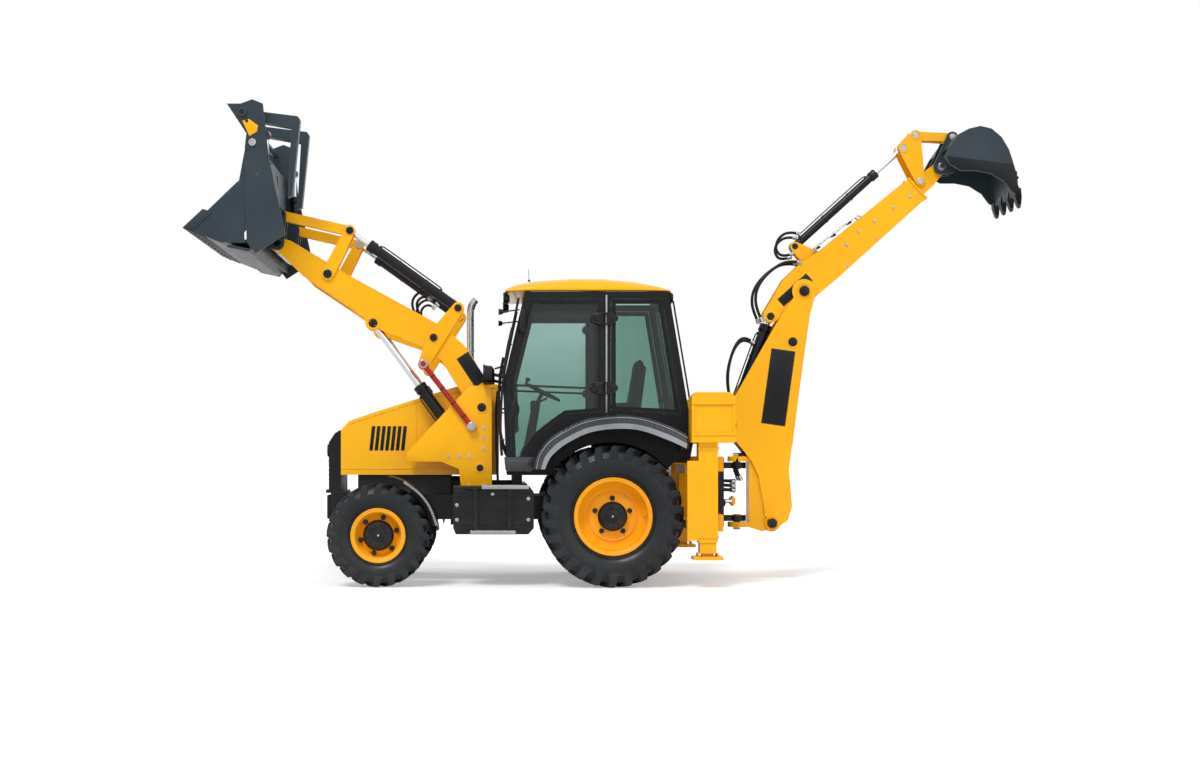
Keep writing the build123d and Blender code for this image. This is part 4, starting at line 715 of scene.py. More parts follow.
def eased(points, between=5):
    # a smooth line through all of the points
    made = []
    for index in range(len(points) - 1):
        around = [Vector(points[min(max(index + shift, 0), len(points) - 1)]) for shift in (-1, 0, 1, 2)]
        for step in range(between):
            t = step / between
            made.append(0.5 * (2 * around[1] + (around[2] - around[0]) * t
                               + (2 * around[0] - 5 * around[1] + 4 * around[2] - around[3]) * t ** 2
                               + (3 * around[1] - around[0] - 3 * around[2] + around[3]) * t ** 3))
    return [tuple(place) for place in made] + [tuple(points[-1])]


# cab roof
roofSettings = {
    "ribs": [(-1034, 2858, 0.90), (-1000, 2892, 0.955), (-900, 2932, 0.985), (-720, 2966, 1.0),
             (-360, 2992, 1.0), (-60, 2990, 1.0), (240, 2958, 1.0), (460, 2912, 0.99), (570, 2876, 0.96),
             (606, 2850, 0.90)],
    "halfWidth": 742,
    "under": 2832,
}


def makeRoof():
    sections = []
    for x, top, share in roofSettings["ribs"]:
        wide = roofSettings["halfWidth"] * share
        under = roofSettings["under"]
        rise = top - under
        half = [(wide - 14, under), (wide, under + min(14, rise * 0.3)), (wide - 6, under + rise * 0.42),
                (wide - 60, under + rise * 0.74), (wide - 190, under + rise * 0.93), (wide * 0.4, top),
                (wide * 0.13, top + 3)]
        sections.append([(x, y, z) for y, z in half] + [(x, -y, z) for y, z in reversed(half)])
    return creased(stepped(sections), 62, 0.7)


smoothed(finishPiece("roofShell", makeRoof(), "chassis", "yellowPanel", 60, ("cab_roof",)))

lampSettings = {
    "front": [(-1012, y) for y in (-600, -440, 440, 600)],
    "rear": [(590, y) for y in (-600, -440, 440, 600)],
    "radius": 46,
}


def workLamp(x, y, z, way, radius=46, long=62):
    # a round lamp: housing, rim and lens along X
    shell = turned((x, y, z),
                   [(0, -long * 0.5), (radius * 0.5, -long * 0.5), (radius * 0.86, -long * 0.28),
                    (radius * 0.94, long * 0.30), (radius, long * 0.32), (radius, long * 0.5),
                    (radius * 0.87, long * 0.5), (radius * 0.85, long * 0.40), (radius * 0.4, long * 0.05),
                    (0, long * 0.0)], (way, 0, 0), 40)
    lens = turned((x + way * long * 0.42, y, z),
                  [(0, 3), (radius * 0.5, 1.5), (radius * 0.855, -2), (radius * 0.855, -6), (0, -4)],
                  (way, 0, 0), 40)
    return shell, lens


shells, lenses = [], []
for key, way in (("front", -1), ("rear", 1)):
    for x, y in lampSettings[key]:
        shell, lens = workLamp(x - way * 6, y, 2782, way, lampSettings["radius"])
        shells += [shell, block((x - 26, y - 12, 2822), (x + 14, y + 12, 2836), 3)]
        lenses.append(lens)
for hand in (-1, 1):
    shell, lens = workLamp(-1178, hand * 690, 2034, -1, 98, 110)
    shells += [shell, rod((-1128, hand * 690, 2034), (-1022, hand * 705, 2010), 16),
               rod((-1120, hand * 690, 2090), (-1020, hand * 705, 2120), 9)]
    lenses.append(lens)
    shell, lens = workLamp(-1062, hand * 716, 2640, -1, 30, 44)
    shells += [shell, rod((-1045, hand * 716, 2640), (-880, hand * 725, 2660), 7)]
    lenses.append(lens)
finishPiece("workLampHousings", gather(*shells), "chassis", "blackPaint")
finishPiece("workLampLenses", gather(*lenses), "chassis", "lampGlass")
print("roof ready")

# rear fenders
fenderSettings = {
    "outer": [(-752, 1120), (-724, 1262), (-632, 1396), (-498, 1486), (-281, 1590), (0, 1636), (254, 1624),
              (524, 1540), (704, 1446)],
    "inner": [(-640, 1120), (-592, 1222), (-505, 1308), (-400, 1378), (-225, 1458), (0, 1492), (240, 1480),
              (500, 1392), (684, 1308)],
    "profile": [(0.0, -756), (0.0, -980), (0.01, -1090), (0.07, -1132), (0.24, -1152), (0.55, -1157),
                (0.86, -1154), (0.99, -1142), (1.0, -1118), (0.93, -1100), (0.30, -1104), (0.16, -1085),
                (0.13, -980), (0.13, -756)],
}


def makeFender():
    sections = []
    for (px, pz), (qx, qz) in zip(eased(fenderSettings["outer"]), eased(fenderSettings["inner"])):
        sections.append([(px + (qx - px) * share, y, pz + (qz - pz) * share)
                         for share, y in fenderSettings["profile"]])
    return creased(stepped(sections), 75, 0.8)


smoothed(finishPiece("fenderShells", mirrored(makeFender()), "chassis", "fenderGrey", 60, ("rear_fenders",)), 1)


def fenderSheenBand(low, high, face):
    # painted reflection: a silver strip along the fender's outer side, between two shares of its height,
    # standing in for the sheen of the glossy dark fender
    sections = []
    for (px, pz), (qx, qz) in zip(eased(fenderSettings["outer"], 8), eased(fenderSettings["inner"], 8)):
        ends = [(px + (qx - px) * share, pz + (qz - pz) * share) for share in (low, high)]
        sections.append([(ends[0][0], face + 6, ends[0][1]), (ends[0][0], face, ends[0][1]),
                         (ends[1][0], face, ends[1][1]), (ends[1][0], face + 6, ends[1][1])])
    return stepped(sections)


# painted reflection: a wide silver strip low on each fender's side and a thin one near its top stand in for its
# sheen
finishPiece("fenderSheenBands", mirrored(gather(fenderSheenBand(0.60, 0.94, -1160), fenderSheenBand(0.20, 0.25, -1158))),
            "chassis", "fenderSheenSilver", 50)
sill = plate([(-1010, 1092), (-1022, 1235), (-700, 1235), (-742, 1120), (-770, 1092)], -792, -752, 8)
sillPanel = plate([(-975, 1118), (-980, 1205), (-745, 1205), (-772, 1118)], -798, -786, 5)
finishPiece("cabSills", mirrored(sill, sillPanel), "chassis", "fenderGrey")
tail = [block((640, -1100, 1312), (702, -920, 1384), 8), block((655, -900, 1300), (700, -800, 1352), 8)]
finishPiece("tailLampHousings", mirrored(*tail), "chassis", "blackPaint")
redLenses = [block((698, -1092, 1320), (708, -1012, 1376), 4), block((697, -892, 1308), (706, -808, 1344), 4)]
finishPiece("tailLampLenses", mirrored(*redLenses), "chassis", "redPaint")
finishPiece("turnLampLenses", mirrored(block((698, -1006, 1320), (708, -928, 1376), 4)), "chassis",
            "amberGlass")
print("fenders ready")

# skins of the loader towers
towerOutline = [(-1970, 1190), (-1970, 1280), (-1365, 1926), (-1190, 1926), (-1150, 1880), (-1150, 800),
                (-1430, 800), (-1470, 1120), (-1640, 1190)]


def grownOutline(outline, share):
    midX = sum(x for x, z in outline) / len(outline)
    midZ = sum(z for x, z in outline) / len(outline)
    return [(midX + (x - midX) * share, midZ + (z - midZ) * share) for x, z in outline]


skins = [plate(grownOutline(towerOutline, 1.005), -637, -617, 2),
         plate(grownOutline(towerOutline, 1.005), -483, -463, 2)]
finishPiece("towerSkins", mirrored(*skins), "chassis", "yellowPaint")
boltPlaces = [(-1230, 1320), (-1230, 1420), (-1230, 1520), (-1370, 1240), (-1470, 1240), (-1570, 1240),
              (-1230, 960), (-1370, 960)]
fittings = [bolt((x, -638, z), 17) for x, z in boltPlaces]
finishPiece("towerBolts", mirrored(*fittings), "chassis", "pinSteel")
ringPlaces = [(*pivot["armFoot"], 44), (*pivot["liftFoot"], 36), (*pivot["linkLow"], 46)]
rings = [turned((x, -637, z), [(r - 1, 2), (r, -7), (r + 12, -7), (r + 15, 2)], steps=48)
         for x, z, r in ringPlaces]
finishPiece("towerRings", mirrored(*rings), "chassis", "yellowPaint")

# blank panels on the arms, and their thin pale frames
panelSettings = [
    # name, body, start and end of the axis, span along it, span across it, outer face
    ("boomPanel", "boom", *boomWay, (978, 1735), (4, 246), -138),
    ("dipperPanel", "dipper", *dipperWay, (-250, 140), (20, 118), -105),
    ("armPanel", "loader_arms", (-1250, 1930), (-1500, 2310), (20, 350), (-74, 60), -600),
]
# end of the name, inset, how far out and back from the face, edge and finish
panelLayers = [("", 0, 2.5, 1, 1, "blankTile"), ("Inlay", 9, 3.6, -1, 0.6, "darkPanel")]
for name, body, start, end, span, across, face in panelSettings:
    for part, inset, out, back, edge, finish in panelLayers:
        (u, uEnd), (v, vEnd) = [(low + inset, high - inset) for low, high in (span, across)]
        corners = [alongLine(start, end, *corner) for corner in ((u, v), (uEnd, v), (uEnd, vEnd), (u, vEnd))]
        finishPiece(name + part, mirrored(plate(corners, face - out, face + back, edge)), body, finish)
print("panels ready")

# loader bucket trim
bucketTrim = {
    "lockPlate": [(-3492, 4396), (-3429, 4414), (-3343, 4352), (-3353, 4295), (-3425, 4252)],
    "wearPlate": [(-3869, 3573), (-3781, 3542), (-3953, 3378), (-4052, 3401)],
}
finishPiece("lockPlates", mirrored(plate(bucketTrim["lockPlate"], -1185, -1174, 3)), "loader_bucket",
            "yellowPaint")
# painted shade: dark discs stand in for the shaded insides of the lock holes
lockHoles = [turned((-3450, -1185, 4395), [(0, -3), (13, -3), (15, -1), (15, 2), (0, 2)], steps=32),
             turned((-3446, -1174, 4119), [(0, -2), (9, -2), (10, 2), (0, 2)], steps=24)]
finishPiece("lockHoles", mirrored(*lockHoles), "loader_bucket", "darkPanel")
sideBoss = turned((-3356, -1175, 3912), [(20, 3), (20, -5), (24, -7), (40, -7), (44, -4), (44, 3)], steps=48)
innerBoss = turned((-3356, -1175, 3912), [(0, -3), (12, -3), (14, -6), (19, -6), (20, 2)], steps=36)
forkRing = turned((-3493, -1195, 4481), [(30, 4), (30, -4), (33, -6), (39, -6), (42, 4)], steps=40)
finishPiece("bucketBosses", mirrored(sideBoss, innerBoss, forkRing), "loader_bucket", "slatePaint")
finishPiece("jawWearPlates", mirrored(plate(bucketTrim["wearPlate"], -1165, -1150, 4)), "clam_jaw",
            "slatePaint")
cutting = plate([(-4062, 3396), (-4050, 3406), (-3860, 3330), (-3866, 3316)], -1150, 1150, 2)
jawBolts = []
for step in range(12):
    jawBolts.append(bolt((-3958, -1045 + step * 190, 3353), 15, (-0.37, 0, -0.93)))
finishPiece("cuttingEdge", gather(cutting, *jawBolts), "clam_jaw", "castGrey")
stiffeners = [plate([(-3398, 3780), (-3356, 3760), (-3356, 4120), (-3398, 4140)], y - 7, y + 7, 2)
              for y in (-850, -350, 350, 850)]
finishPiece("bucketRibs", gather(*stiffeners), "loader_bucket", "slatePaint")
print("bucket trim ready")

# rear boxes, ribs and carriage fittings
boxRibs = []
for low, high in ((1438, 1462), (1728, 1752)):
    boxRibs.append(plate([(728, low), (728, high), (1134, high), (1134, low)], -1252, -1238, 4))
boxRibs.append(plate([(724, 1372), (724, 1392), (1138, 1392), (1138, 1372)], -1250, -978, 4))
for x in (734, 1112):
    boxRibs.append(plate([(x, 1462), (x, 1728), (x + 14, 1728), (x + 14, 1462)], -1246, -1238, 3))
finishPiece("rearBoxRibs", mirrored(*boxRibs), "chassis", "yellowPaint")
columnTrim = [block((790, -1200, 470), (985, -1190, 500), 3), block((790, -1200, 1300), (985, -1190, 1330), 3)]
for z in (560, 700, 840, 980, 1120):
    columnTrim.append(bolt((704, -1192, z), 13))
finishPiece("columnTrim", mirrored(*columnTrim), "chassis", "yellowPaint")
chrome = [rod((1272, hand * 52, 792), (1100, hand * 112, 788), 19) for hand in (-1, 1)]
finishPiece("slewRods", gather(*chrome), "carriage", "chromeRod", 50)
swivel = []
eyeProfile = [(12, -34), (25, -34), (27, -28), (27, 28), (25, 34), (12, 34)]
for y in (-50, 50):
    swivel += [turned((1276, y, 792), eyeProfile, "Z", 32), rod((1276, y, 742), (1276, y, 842), 11)]
finishPiece("slewEyes", gather(*swivel), "carriage", "yellowPaint")
capProfile = [(0, 6), (30, 6), (38, 3), (40, -4), (0, -4)]
caps = [turned((1322, 0, z), [(r, up * d) for r, d in capProfile], "Z", 40) for z, up in ((1270, 1), (510, -1))]
finishPiece("swingPinCaps", gather(*caps), "kingpost", "blackPaint")
print("rear frame ready")


def ringPlate(outline, width, low, high, edge=1.5):
    # a flat band of even width inside an outline
    part = bmesh.new()
    face = part.faces.new([part.verts.new((x, low, z)) for x, z in outline])
    part.normal_update()
    bmesh.ops.inset_region(part, faces=[face], thickness=width, use_boundary=True, use_even_offset=True)
    bmesh.ops.delete(part, geom=[face], context="FACES_ONLY")
    grown = bmesh.ops.extrude_face_region(part, geom=part.faces[:])
    bmesh.ops.translate(part, vec=(0, high - low, 0),
                        verts=[v for v in grown["geom"] if isinstance(v, bmesh.types.BMVert)])
    bmesh.ops.recalc_face_normals(part, faces=part.faces)
    return soften(part, edge, 1)


# cab shell trim
cabSettings = {
    "door": [(-958, 1150), (-990, 1962), (-790, 2765), (-78, 2765), (-78, 1665), (-430, 1640), (-560, 1545),
             (-700, 1430), (-790, 1310), (-850, 1150)],
    "doorBands": [[(-774, 2640), (-754, 2719), (-124, 2719), (-124, 2640)],
                  [(-124, 2640), (-124, 1709), (-168, 1706), (-168, 2640)],
                  [(-943, 1958), (-774, 2640), (-734, 2640), (-903, 1958)],
                  [(-925, 1480), (-943, 1958), (-903, 1958), (-889, 1480)]],
    "quarter": [(3, 1680), (3, 2762), (496, 2762), (676, 1643), (500, 1658)],
    "hinges": [2570, 1900],
}


def ovalCover(x, y, z, wide, tall):
    # a pressed oval plate with a raised rim
    part = turned((0, 0, 0),
                  [(0, -5), (0.42, -5), (0.46, -8), (0.72, -8), (0.78, -5), (0.88, -5), (0.93, -9), (1.0, -7),
                   (1.02, 4)], steps=56)
    bmesh.ops.scale(part, vec=(wide, 1, tall), verts=part.verts)
    return shifted(part, (x, y, z))


def halfOf(part, x, keepLow):
    cut = bmesh.ops.bisect_plane(part, geom=part.verts[:] + part.edges[:] + part.faces[:], plane_co=(x, 0, 0),
                                 plane_no=(1, 0, 0), clear_outer=keepLow, clear_inner=not keepLow)
    rim = [e for e in cut["geom_cut"] if isinstance(e, bmesh.types.BMEdge)]
    bmesh.ops.edgeloop_fill(part, edges=rim)
    return part


for side, hand in bothSides:
    covers = [halfOf(ovalCover(-66, -788, z, 134, 60), -80, True) for z in cabSettings["hinges"]]
    lock = ovalCover(-934, -757, 1691, 52, 84)
    lever = plate([(-950, 1640), (-948, 1740), (-922, 1740), (-920, 1640)], -770, -760, 4)
    mirrorArm = strand([(-885, -757, 2440), (-880, -800, 2470), (-850, -842, 2520), (-846, -842, 2600)], 8)
    mirrorHead = stepped([[(x, -842 + 62 * s * across, 2538 + 116 * s * up) for across, up in
                           ((-1, -1), (1, -1), (1, 1), (-1, 1))]
                          for x, s in ((-872, 0.8), (-862, 0.98), (-838, 1.0), (-822, 0.82))])
    rim = ringPlate(cabSettings["door"], 14, -759, -754)
    bands = [plate(outline, -734, -731.5, 0.6) for outline in cabSettings["doorBands"]]
    rail = plate([(-925, 1940), (-124, 1908), (-124, 1888), (-925, 1918)], -722, -706, 4)
    parts = {"Trim": (gather(*covers, lock, lever, mirrorArm, rim), "blackPaint"),
             "GlassBand": (gather(*bands, rail), "darkPanel"),
             "Mirror": (soften(mirrorHead, 24, 4, 40), "blackPaint")}
    for name, (part, finish) in parts.items():
        finishPiece(f"{side}Door{name}", flipped(part) if hand > 0 else part, f"door_{side}", finish)

shellTrim = [halfOf(ovalCover(-66, -788, z, 134, 60), -44, False) for z in cabSettings["hinges"]]
shellTrim.append(ringPlate(cabSettings["quarter"], 16, -759, -753))
shellTrim.append(strand([(-889, -775, 2770), (-960, -792, 2420), (-1033, -794, 2076), (-1062, -792, 1700),
                         (-1066, -787, 1400), (-1050, -765, 1250)], 12))
shellTrim.append(strand([(-1000, -700, 1250), (-1062, -706, 1400), (-1085, -706, 1700), (-1072, -706, 2050),
                         (-1035, -712, 2200)], 14))
shellTrim.append(strand([(600, -770, 2740), (690, -775, 2200), (775, -772, 1700), (790, -765, 1520)], 9))
for z in (2420, 2076, 1700, 1400):
    shellTrim.append(turned((-1046 if z < 2400 else -960, -792, z),
                            [(0, -8), (18, -8), (20, -5), (20, 5), (18, 8), (0, 8)], "Z", 24))
finishPiece("cabShellTrim", mirrored(*shellTrim), "chassis", "blackPaint")
finishPiece("quarterBand", mirrored(ringPlate(cabSettings["quarter"], 46, -748, -746, 0.6)), "chassis",
            "darkPanel")
pillar = plate([(-50, 1660), (-50, 2800), (-34, 2800), (-34, 1660)], -762, -754, 3)
finishPiece("pillarStrips", mirrored(pillar), "chassis", "stepSilver")
wipers = [rod((-1046, -60, 1990), (-1035, -60, 1990), 26),
          strand([(-1044, -60, 1990), (-1030, -40, 2200), (-985, 160, 2420)], 5),
          strand([(-1012, 60, 2260), (-985, 160, 2420), (-950, 250, 2560)], 6),
          rod((588, 0, 2790), (606, 0, 2770), 24),
          strand([(598, 0, 2770), (640, 60, 2500), (694, 120, 2250)], 5),
          strand([(650, 20, 2440), (694, 120, 2230), (730, 200, 2010)], 6)]
wipers.append(rod((-784, -500, 2950), (-790, -500, 3078), 3, 2))
wipers.append(turned((-784, -500, 2962), [(0, -6), (14, -6), (14, 0), (8, 10), (0, 10)], "Z", 24))
finishPiece("wipersAndAerial", gather(*wipers), "chassis", "blackPaint")
print("cab shell ready")

# cab inside
seatSettings = {
    "base": [(-214, 1516), (262, 1516), (272, 1588), (-190, 1596), (-222, 1560)],
    "back": [(206, 1634), (290, 1632), (366, 2180), (338, 2214), (306, 2212)],
    "halfWidth": 232,
    "voxel": 0.0085,
    "pressure": 4.0,
    "cap": 0.011,
    "channel": 0.007,
}


def puffed(piece, cap):
    # the cover drawn tight over its filling: a short cloth run, then its shape is kept
    remesh = piece.modifiers.new("weave", "REMESH")
    remesh.mode = "VOXEL"
    remesh.voxel_size = seatSettings["voxel"]
    start = bpy.data.meshes.new_from_object(piece.evaluated_get(bpy.context.evaluated_depsgraph_get()))
    piece.modifiers.clear()
    piece.data = start
    before = [v.co.copy() for v in start.vertices]
    cloth = piece.modifiers.new("cover", "CLOTH")
    cloth.settings.use_pressure = True
    cloth.settings.uniform_pressure_force = seatSettings["pressure"]
    cloth.settings.effector_weights.gravity = 0
    cloth.settings.quality = 4
    cloth.point_cache.frame_start = 1
    cloth.point_cache.frame_end = 20
    scene = bpy.context.scene
    for step in range(1, 21):
        scene.frame_set(step)
    shaped = bpy.data.meshes.new_from_object(piece.evaluated_get(bpy.context.evaluated_depsgraph_get()))
    piece.modifiers.clear()
    scene.frame_set(1)
    for vert, first in zip(shaped.vertices, before):
        move = vert.co - first
        if move.length > cap:
            vert.co = first + move * (cap / move.length)
    piece.data = shaped
    return piece


def sewn(piece, seams, depth):
    # channels pressed in along seams, each a plane (point, way) and its half width
    mesh = piece.data
    normals = [v.normal.copy() for v in mesh.vertices]
    for vert, normal in zip(mesh.vertices, normals):
        for point, way, half in seams:
            away = abs((vert.co - point).dot(way))
            if away < 3 * half:
                vert.co -= normal * depth * exp(-(away / half) ** 2)
    mesh.update()


def makePad(name, outline, halfWidth, seams):
    part = plate(outline, -halfWidth, halfWidth, 22)
    bmesh.ops.transform(part, matrix=machineFrame, verts=part.verts)
    mesh = bpy.data.meshes.new(name)
    part.to_mesh(mesh)
    part.free()
    piece = bpy.data.objects.new(name, mesh)
    bpy.context.scene.collection.objects.link(piece)
    puffed(piece, seatSettings["cap"])
    sewn(piece, seams, seatSettings["channel"])
    piece.data.shade_smooth()
    piece.data.materials.clear()
    piece.data.materials.append(finishes["seatCloth"])
    smoothed(piece, 1)
    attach(piece, "chassis")
    return piece


across, length = Vector((0, 1, 0)), Vector((1, 0, 0))
baseSeams = [(spot(0, y, 1560), across, 0.007) for y in (-150, 150)]
baseSeams += [(spot(x, 0, 1560), length, 0.006) for x in (-60, 90)]
backWay = Vector((0.14, 0, 0.99))
backSeams = [(spot(290, y, 1900), across, 0.007) for y in (-145, 145)]
backSeams += [(spot(290, 0, z), backWay, 0.006) for z in (1760, 1900, 2050)]
makePad("seatBaseCushion", seatSettings["base"], seatSettings["halfWidth"], baseSeams)
makePad("seatBackCushion", seatSettings["back"], seatSettings["halfWidth"] - 6, backSeams)
bellows = [(88 if n % 2 else 96, -80 + 10 * n) for n in range(1, 13)]
seatFrame = [
    plate([(-200, 1490), (270, 1490), (282, 1516), (-214, 1512)], -226, 226, 6),
    plate([(292, 1560), (318, 1560), (392, 2130), (372, 2150)], -205, 205, 8),
    turned((30, 0, 1300), [(0, -185), (150, -185), (150, -150), (96, -130), (96, -80), *bellows, (96, 160),
                           (170, 185), (0, 185)], "Z", 40),
]
for hand in (-1, 1):
    near, far = spanned(hand * 262, hand * 322)
    seatFrame.append(swung(block((-130, near, 1732), (260, far, 1776), 16), (200, 0, 1750), -3))
    near, far = spanned(hand * 236, hand * 262)
    seatFrame.append(block((205, near, 1560), (250, far, 1762), 6))
finishPiece("seatFrame", gather(*seatFrame), "chassis", "cabPlastic", 32, ("cab_fittings",))
helmSettings = {"place": (-640, 0, 1890), "way": (60, 0, 120), "radius": 188, "grip": 13, "firstSpoke": 0.3,
                "spokes": 3, "knobTurn": 2.4}
wheelWay = Vector(helmSettings["way"]).normalized()
wheelPlace = Vector(helmSettings["place"])
rimAngles = [2 * pi * n / 12 for n in range(13)]
rimPoints = [(helmSettings["radius"] + helmSettings["grip"] * cos(a), helmSettings["grip"] * sin(a))
             for a in rimAngles]
helm = [turned(wheelPlace, rimPoints, wheelWay, 56),
        turned((-640, 0, 1884), [(0, -22), (40, -22), (52, -8), (52, 4), (40, 12), (0, 14)], wheelWay, 36),
        rod((-700, 0, 1762), (-642, 0, 1882), 22, 18), rod((-815, 0, 1140), (-700, 0, 1780), 52, 42, edge=4)]
side = wheelWay.orthogonal().normalized()
for n in range(helmSettings["spokes"]):
    way = Matrix.Rotation(helmSettings["firstSpoke"] + 2 * pi * n / helmSettings["spokes"], 3, wheelWay) @ side
    helm.append(rod(Vector((-640, 0, 1886)) + way * 40, wheelPlace + way * 184, 10, 8))
knobPlace = wheelPlace + (Matrix.Rotation(helmSettings["knobTurn"], 3, wheelWay) @ side) * helmSettings["radius"]
helm.append(turned(knobPlace, [(0, 6), (10, 6), (10, 24), (22, 34), (26, 50), (20, 64), (0, 68)], wheelWay, 24))
helm.append(block((-760, -150, 1700), (-690, 150, 1800), 14))
helm += [rod((-690, hand * 120, 1780), (-590, hand * 190, 1830), 7) for hand in (-1, 1)]
helm.append(plate([(-960, 1112), (-960, 1180), (-880, 1180), (-700, 1116)], -250, 250, 8))
for y in (-170, 60, 170):
    helm.append(swung(block((-850, y - 34, 1190), (-836, y + 34, 1300), 5), (-843, y, 1245), 35))
finishPiece("steeringColumn", gather(*helm), "chassis", "cabPlastic")
desk = [block((482, -418, 1502), (690, 418, 1556), 12), block((500, -400, 1550), (672, 400, 1574), 8),
        block((-120, 340, 1112), (420, 560, 1560), 24), block((-60, 350, 1556), (300, 550, 1600), 14),
        block((-180, -560, 1112), (200, -380, 1330), 20)]
for y in (-130, -60, 60, 130):
    desk.append(turned((598, y, 1574), [(0, 0), (26, 0), (22, 10), (14, 26), (0, 28)], "Z", 24))
finishPiece("cabConsoles", gather(*desk), "chassis", "cabPlastic")
levers = []
knobs = []
for y in (-130, -60, 60, 130):
    levers.append(strand([(598, y, 1580), (590, y, 1660), (566, y * 0.94, 1740), (560, y * 0.94, 1786)], 7))
    knobs.append(turned((558, y * 0.94, 1800),
                        [(0, -26), (12, -26), (16, -14), (23, 4), (22, 16), (12, 26), (0, 28)], "Z", 28))
for x, y, z in ((40, 400, 1600), (120, 430, 1600), (-20, 470, 1600)):
    levers.append(strand([(x, y, z), (x - 4, y, z + 90), (x - 20, y, z + 150)], 7))
    knobs.append(turned((x - 22, y, z + 165), [(0, -22), (14, -22), (22, -4), (20, 14), (0, 24)], "Z", 28))
finishPiece("controlLevers", gather(*levers), "chassis", "pinSteel", 60)
finishPiece("leverKnobs", gather(*knobs), "chassis", "hoseRubber")
print("cab inside ready")

# steps between the wheels, with toothed treads
stepSettings = {
    "low": (-1349, -925, -1074, -998, 536),
    "high": (-1240, -800, -1074, -998, 966),
}
treads, teeth = [], []
for x0, x1, y0, y1, z in stepSettings.values():
    treads.append(block((x0, y0, z - 8), (x1, y1, z), 2))
    treads.append(block((x0 - 3, y0 - 4, z - 34), (x1 + 3, y0 + 3, z + 2), 2))
    for n in range(int((x1 - x0) / 22)):
        for side in (-18, 18):
            teeth.append(turned((x0 + 11 + n * 22, (y0 + y1) / 2 + side, z),
                                [(8, -1), (8, 3), (5, 6), (4, 6), (3, 2)], "Z", 10))
finishPiece("stepTreads", mirrored(*treads), "chassis", "stepSilver")
finishPiece("stepTeeth", mirrored(*teeth), "chassis", "stepSilver")
ribs = [block((-1490, -1006, z), (-780, -998, z + 14), 3) for z in (600, 860, 900)]
ribs += [block((-1500, -1008, 905), (-760, -998, 925), 3)]
lockPlaces = [(-1480, 780), (-1480, 640), (-800, 640), (-800, 840), (-1140, 880)]
locks = [bolt((x, -1002, z), 18) for x, z in lockPlaces]
finishPiece("stepBoxRibs", mirrored(*ribs), "chassis", "blackPaint")
finishPiece("stepBoxBolts", mirrored(*locks), "chassis", "pinSteel")

# painted highlight: silver lines along the front mudguards' edge stand in for the highlight on the black
# mudguards, as radius and distance outwards
mudguardHighlight = {"lines": ((571, 1077), (560, 1072)), "angles": (10, 24, 38, 52, 64), "thick": 5}
front = wheelSettings["front"]
for side, hand in bothSides:
    lines = []
    for radius, y in mudguardHighlight["lines"]:
        points = [(front["x"] + radius * cos(radians(a)), hand * y, front["radius"] + radius * sin(radians(a)))
                  for a in mudguardHighlight["angles"]]
        lines.append(strand(points, mudguardHighlight["thick"]))
    finishPiece(f"{side}MudguardHighlight", gather(*lines), f"knuckle_{side}", "stepSilver", 60)
print("steps ready")

# trim of the rams: gland, ports, hard pipe and hose
ramSettings = {
    # body, base and eye in x and z, y, barrel radius, pin radius, how far the rod draws in, side of the pipe
    "lift": ("lift_barrels", pivot["liftFoot"], pivot["liftEye"], -550, 56, 30, 675, 1),
    "tilt": ("tilt_barrels", pivot["tiltFoot"], pivot["tiltEye"], -550, 50, 30, 150, -1),
    "boom": ("boom_barrel", pivot["boomRamFoot"], pivot["boomRamEye"], 0, 60, 32, 45, 1),
    "dipper": ("dipper_barrel", pivot["dipperRamFoot"], pivot["dipperRamEye"], 0, 54, 32, 5, 1),
    "bucket": ("bucket_barrel", pivot["bucketRamFoot"], pivot["bucketRamEye"], 0, 40, 26, 278, 1),
    "clam": ("clam_barrels", pivot["clamFoot"], pivot["clamEye"], -1090, 34, 18, 182, -1),
}
for name, (body, base, eye, y, radius, pin, drawn, side) in ramSettings.items():
    eyeRadius = pin + 22
    end = hypot(eye[0] - base[0], eye[1] - base[1]) - drawn - eyeRadius - 25

    def at(distance, offset=0, across=0):
        x, z = alongLine(base, eye, distance, offset)
        return (x, y + across, z)

    way = (Vector(at(100)) - Vector(at(0))).normalized()
    gland = turned(at(end), [(radius * 0.62, 5), (radius * 0.8, 5), (radius + 4, 2), (radius + 10, -3),
                             (radius + 10, -26), (radius + 6, -30), (radius + 6, -38), (radius + 10, -42),
                             (radius + 10, -68), (radius + 4, -76), (radius - 2, -76)], way, 40)
    foot = turned(at(eyeRadius + 22),
                  [(radius - 2, -8), (radius + 1.5, -6), (radius + 1.5, 10), (radius - 2, 14)], way, 40)
    lift = side * (radius + 14)
    start = eyeRadius + (190 if name == "tilt" else 60)
    pipe = strand([at(start, side * (radius - 6)), at(start + 2, lift), at(start + 30, lift + side * 4),
                   at(end - 150, lift + side * 4), at(end - 112, lift), at(end - 106, side * (radius - 6))],
                  max(6, radius * 0.13))
    clampProfile = [(radius - 1, -9), (radius + 4, -9), (radius + 4, 9), (radius - 1, 9)]
    clamps = [turned(at(end * share), clampProfile, way, 36) for share in (0.38, 0.68)]
    sideways = (Vector(at(0, side * 100)) - Vector(at(0))).normalized()
    portProfile = [(0, -6), (radius * 0.26, -6), (radius * 0.26, 12), (0, 14)]
    ports = [turned(at(place, side * radius), portProfile, sideways, 20) for place in (start, end - 106)]
    trim = gather(gland, foot, pipe, *clamps, *ports)
    finishPiece(f"{name}RamTrim", mirrored(trim) if y else trim, body, "blackPaint", 40)
    wiper = turned(at(end + 5), [(radius * 0.56, 4), (radius * 0.74, 3), (radius * 0.76, -3)], way, 36)
    finishPiece(f"{name}RamWiper", mirrored(wiper) if y else wiper, body, "pinSteel")
print("rams ready")

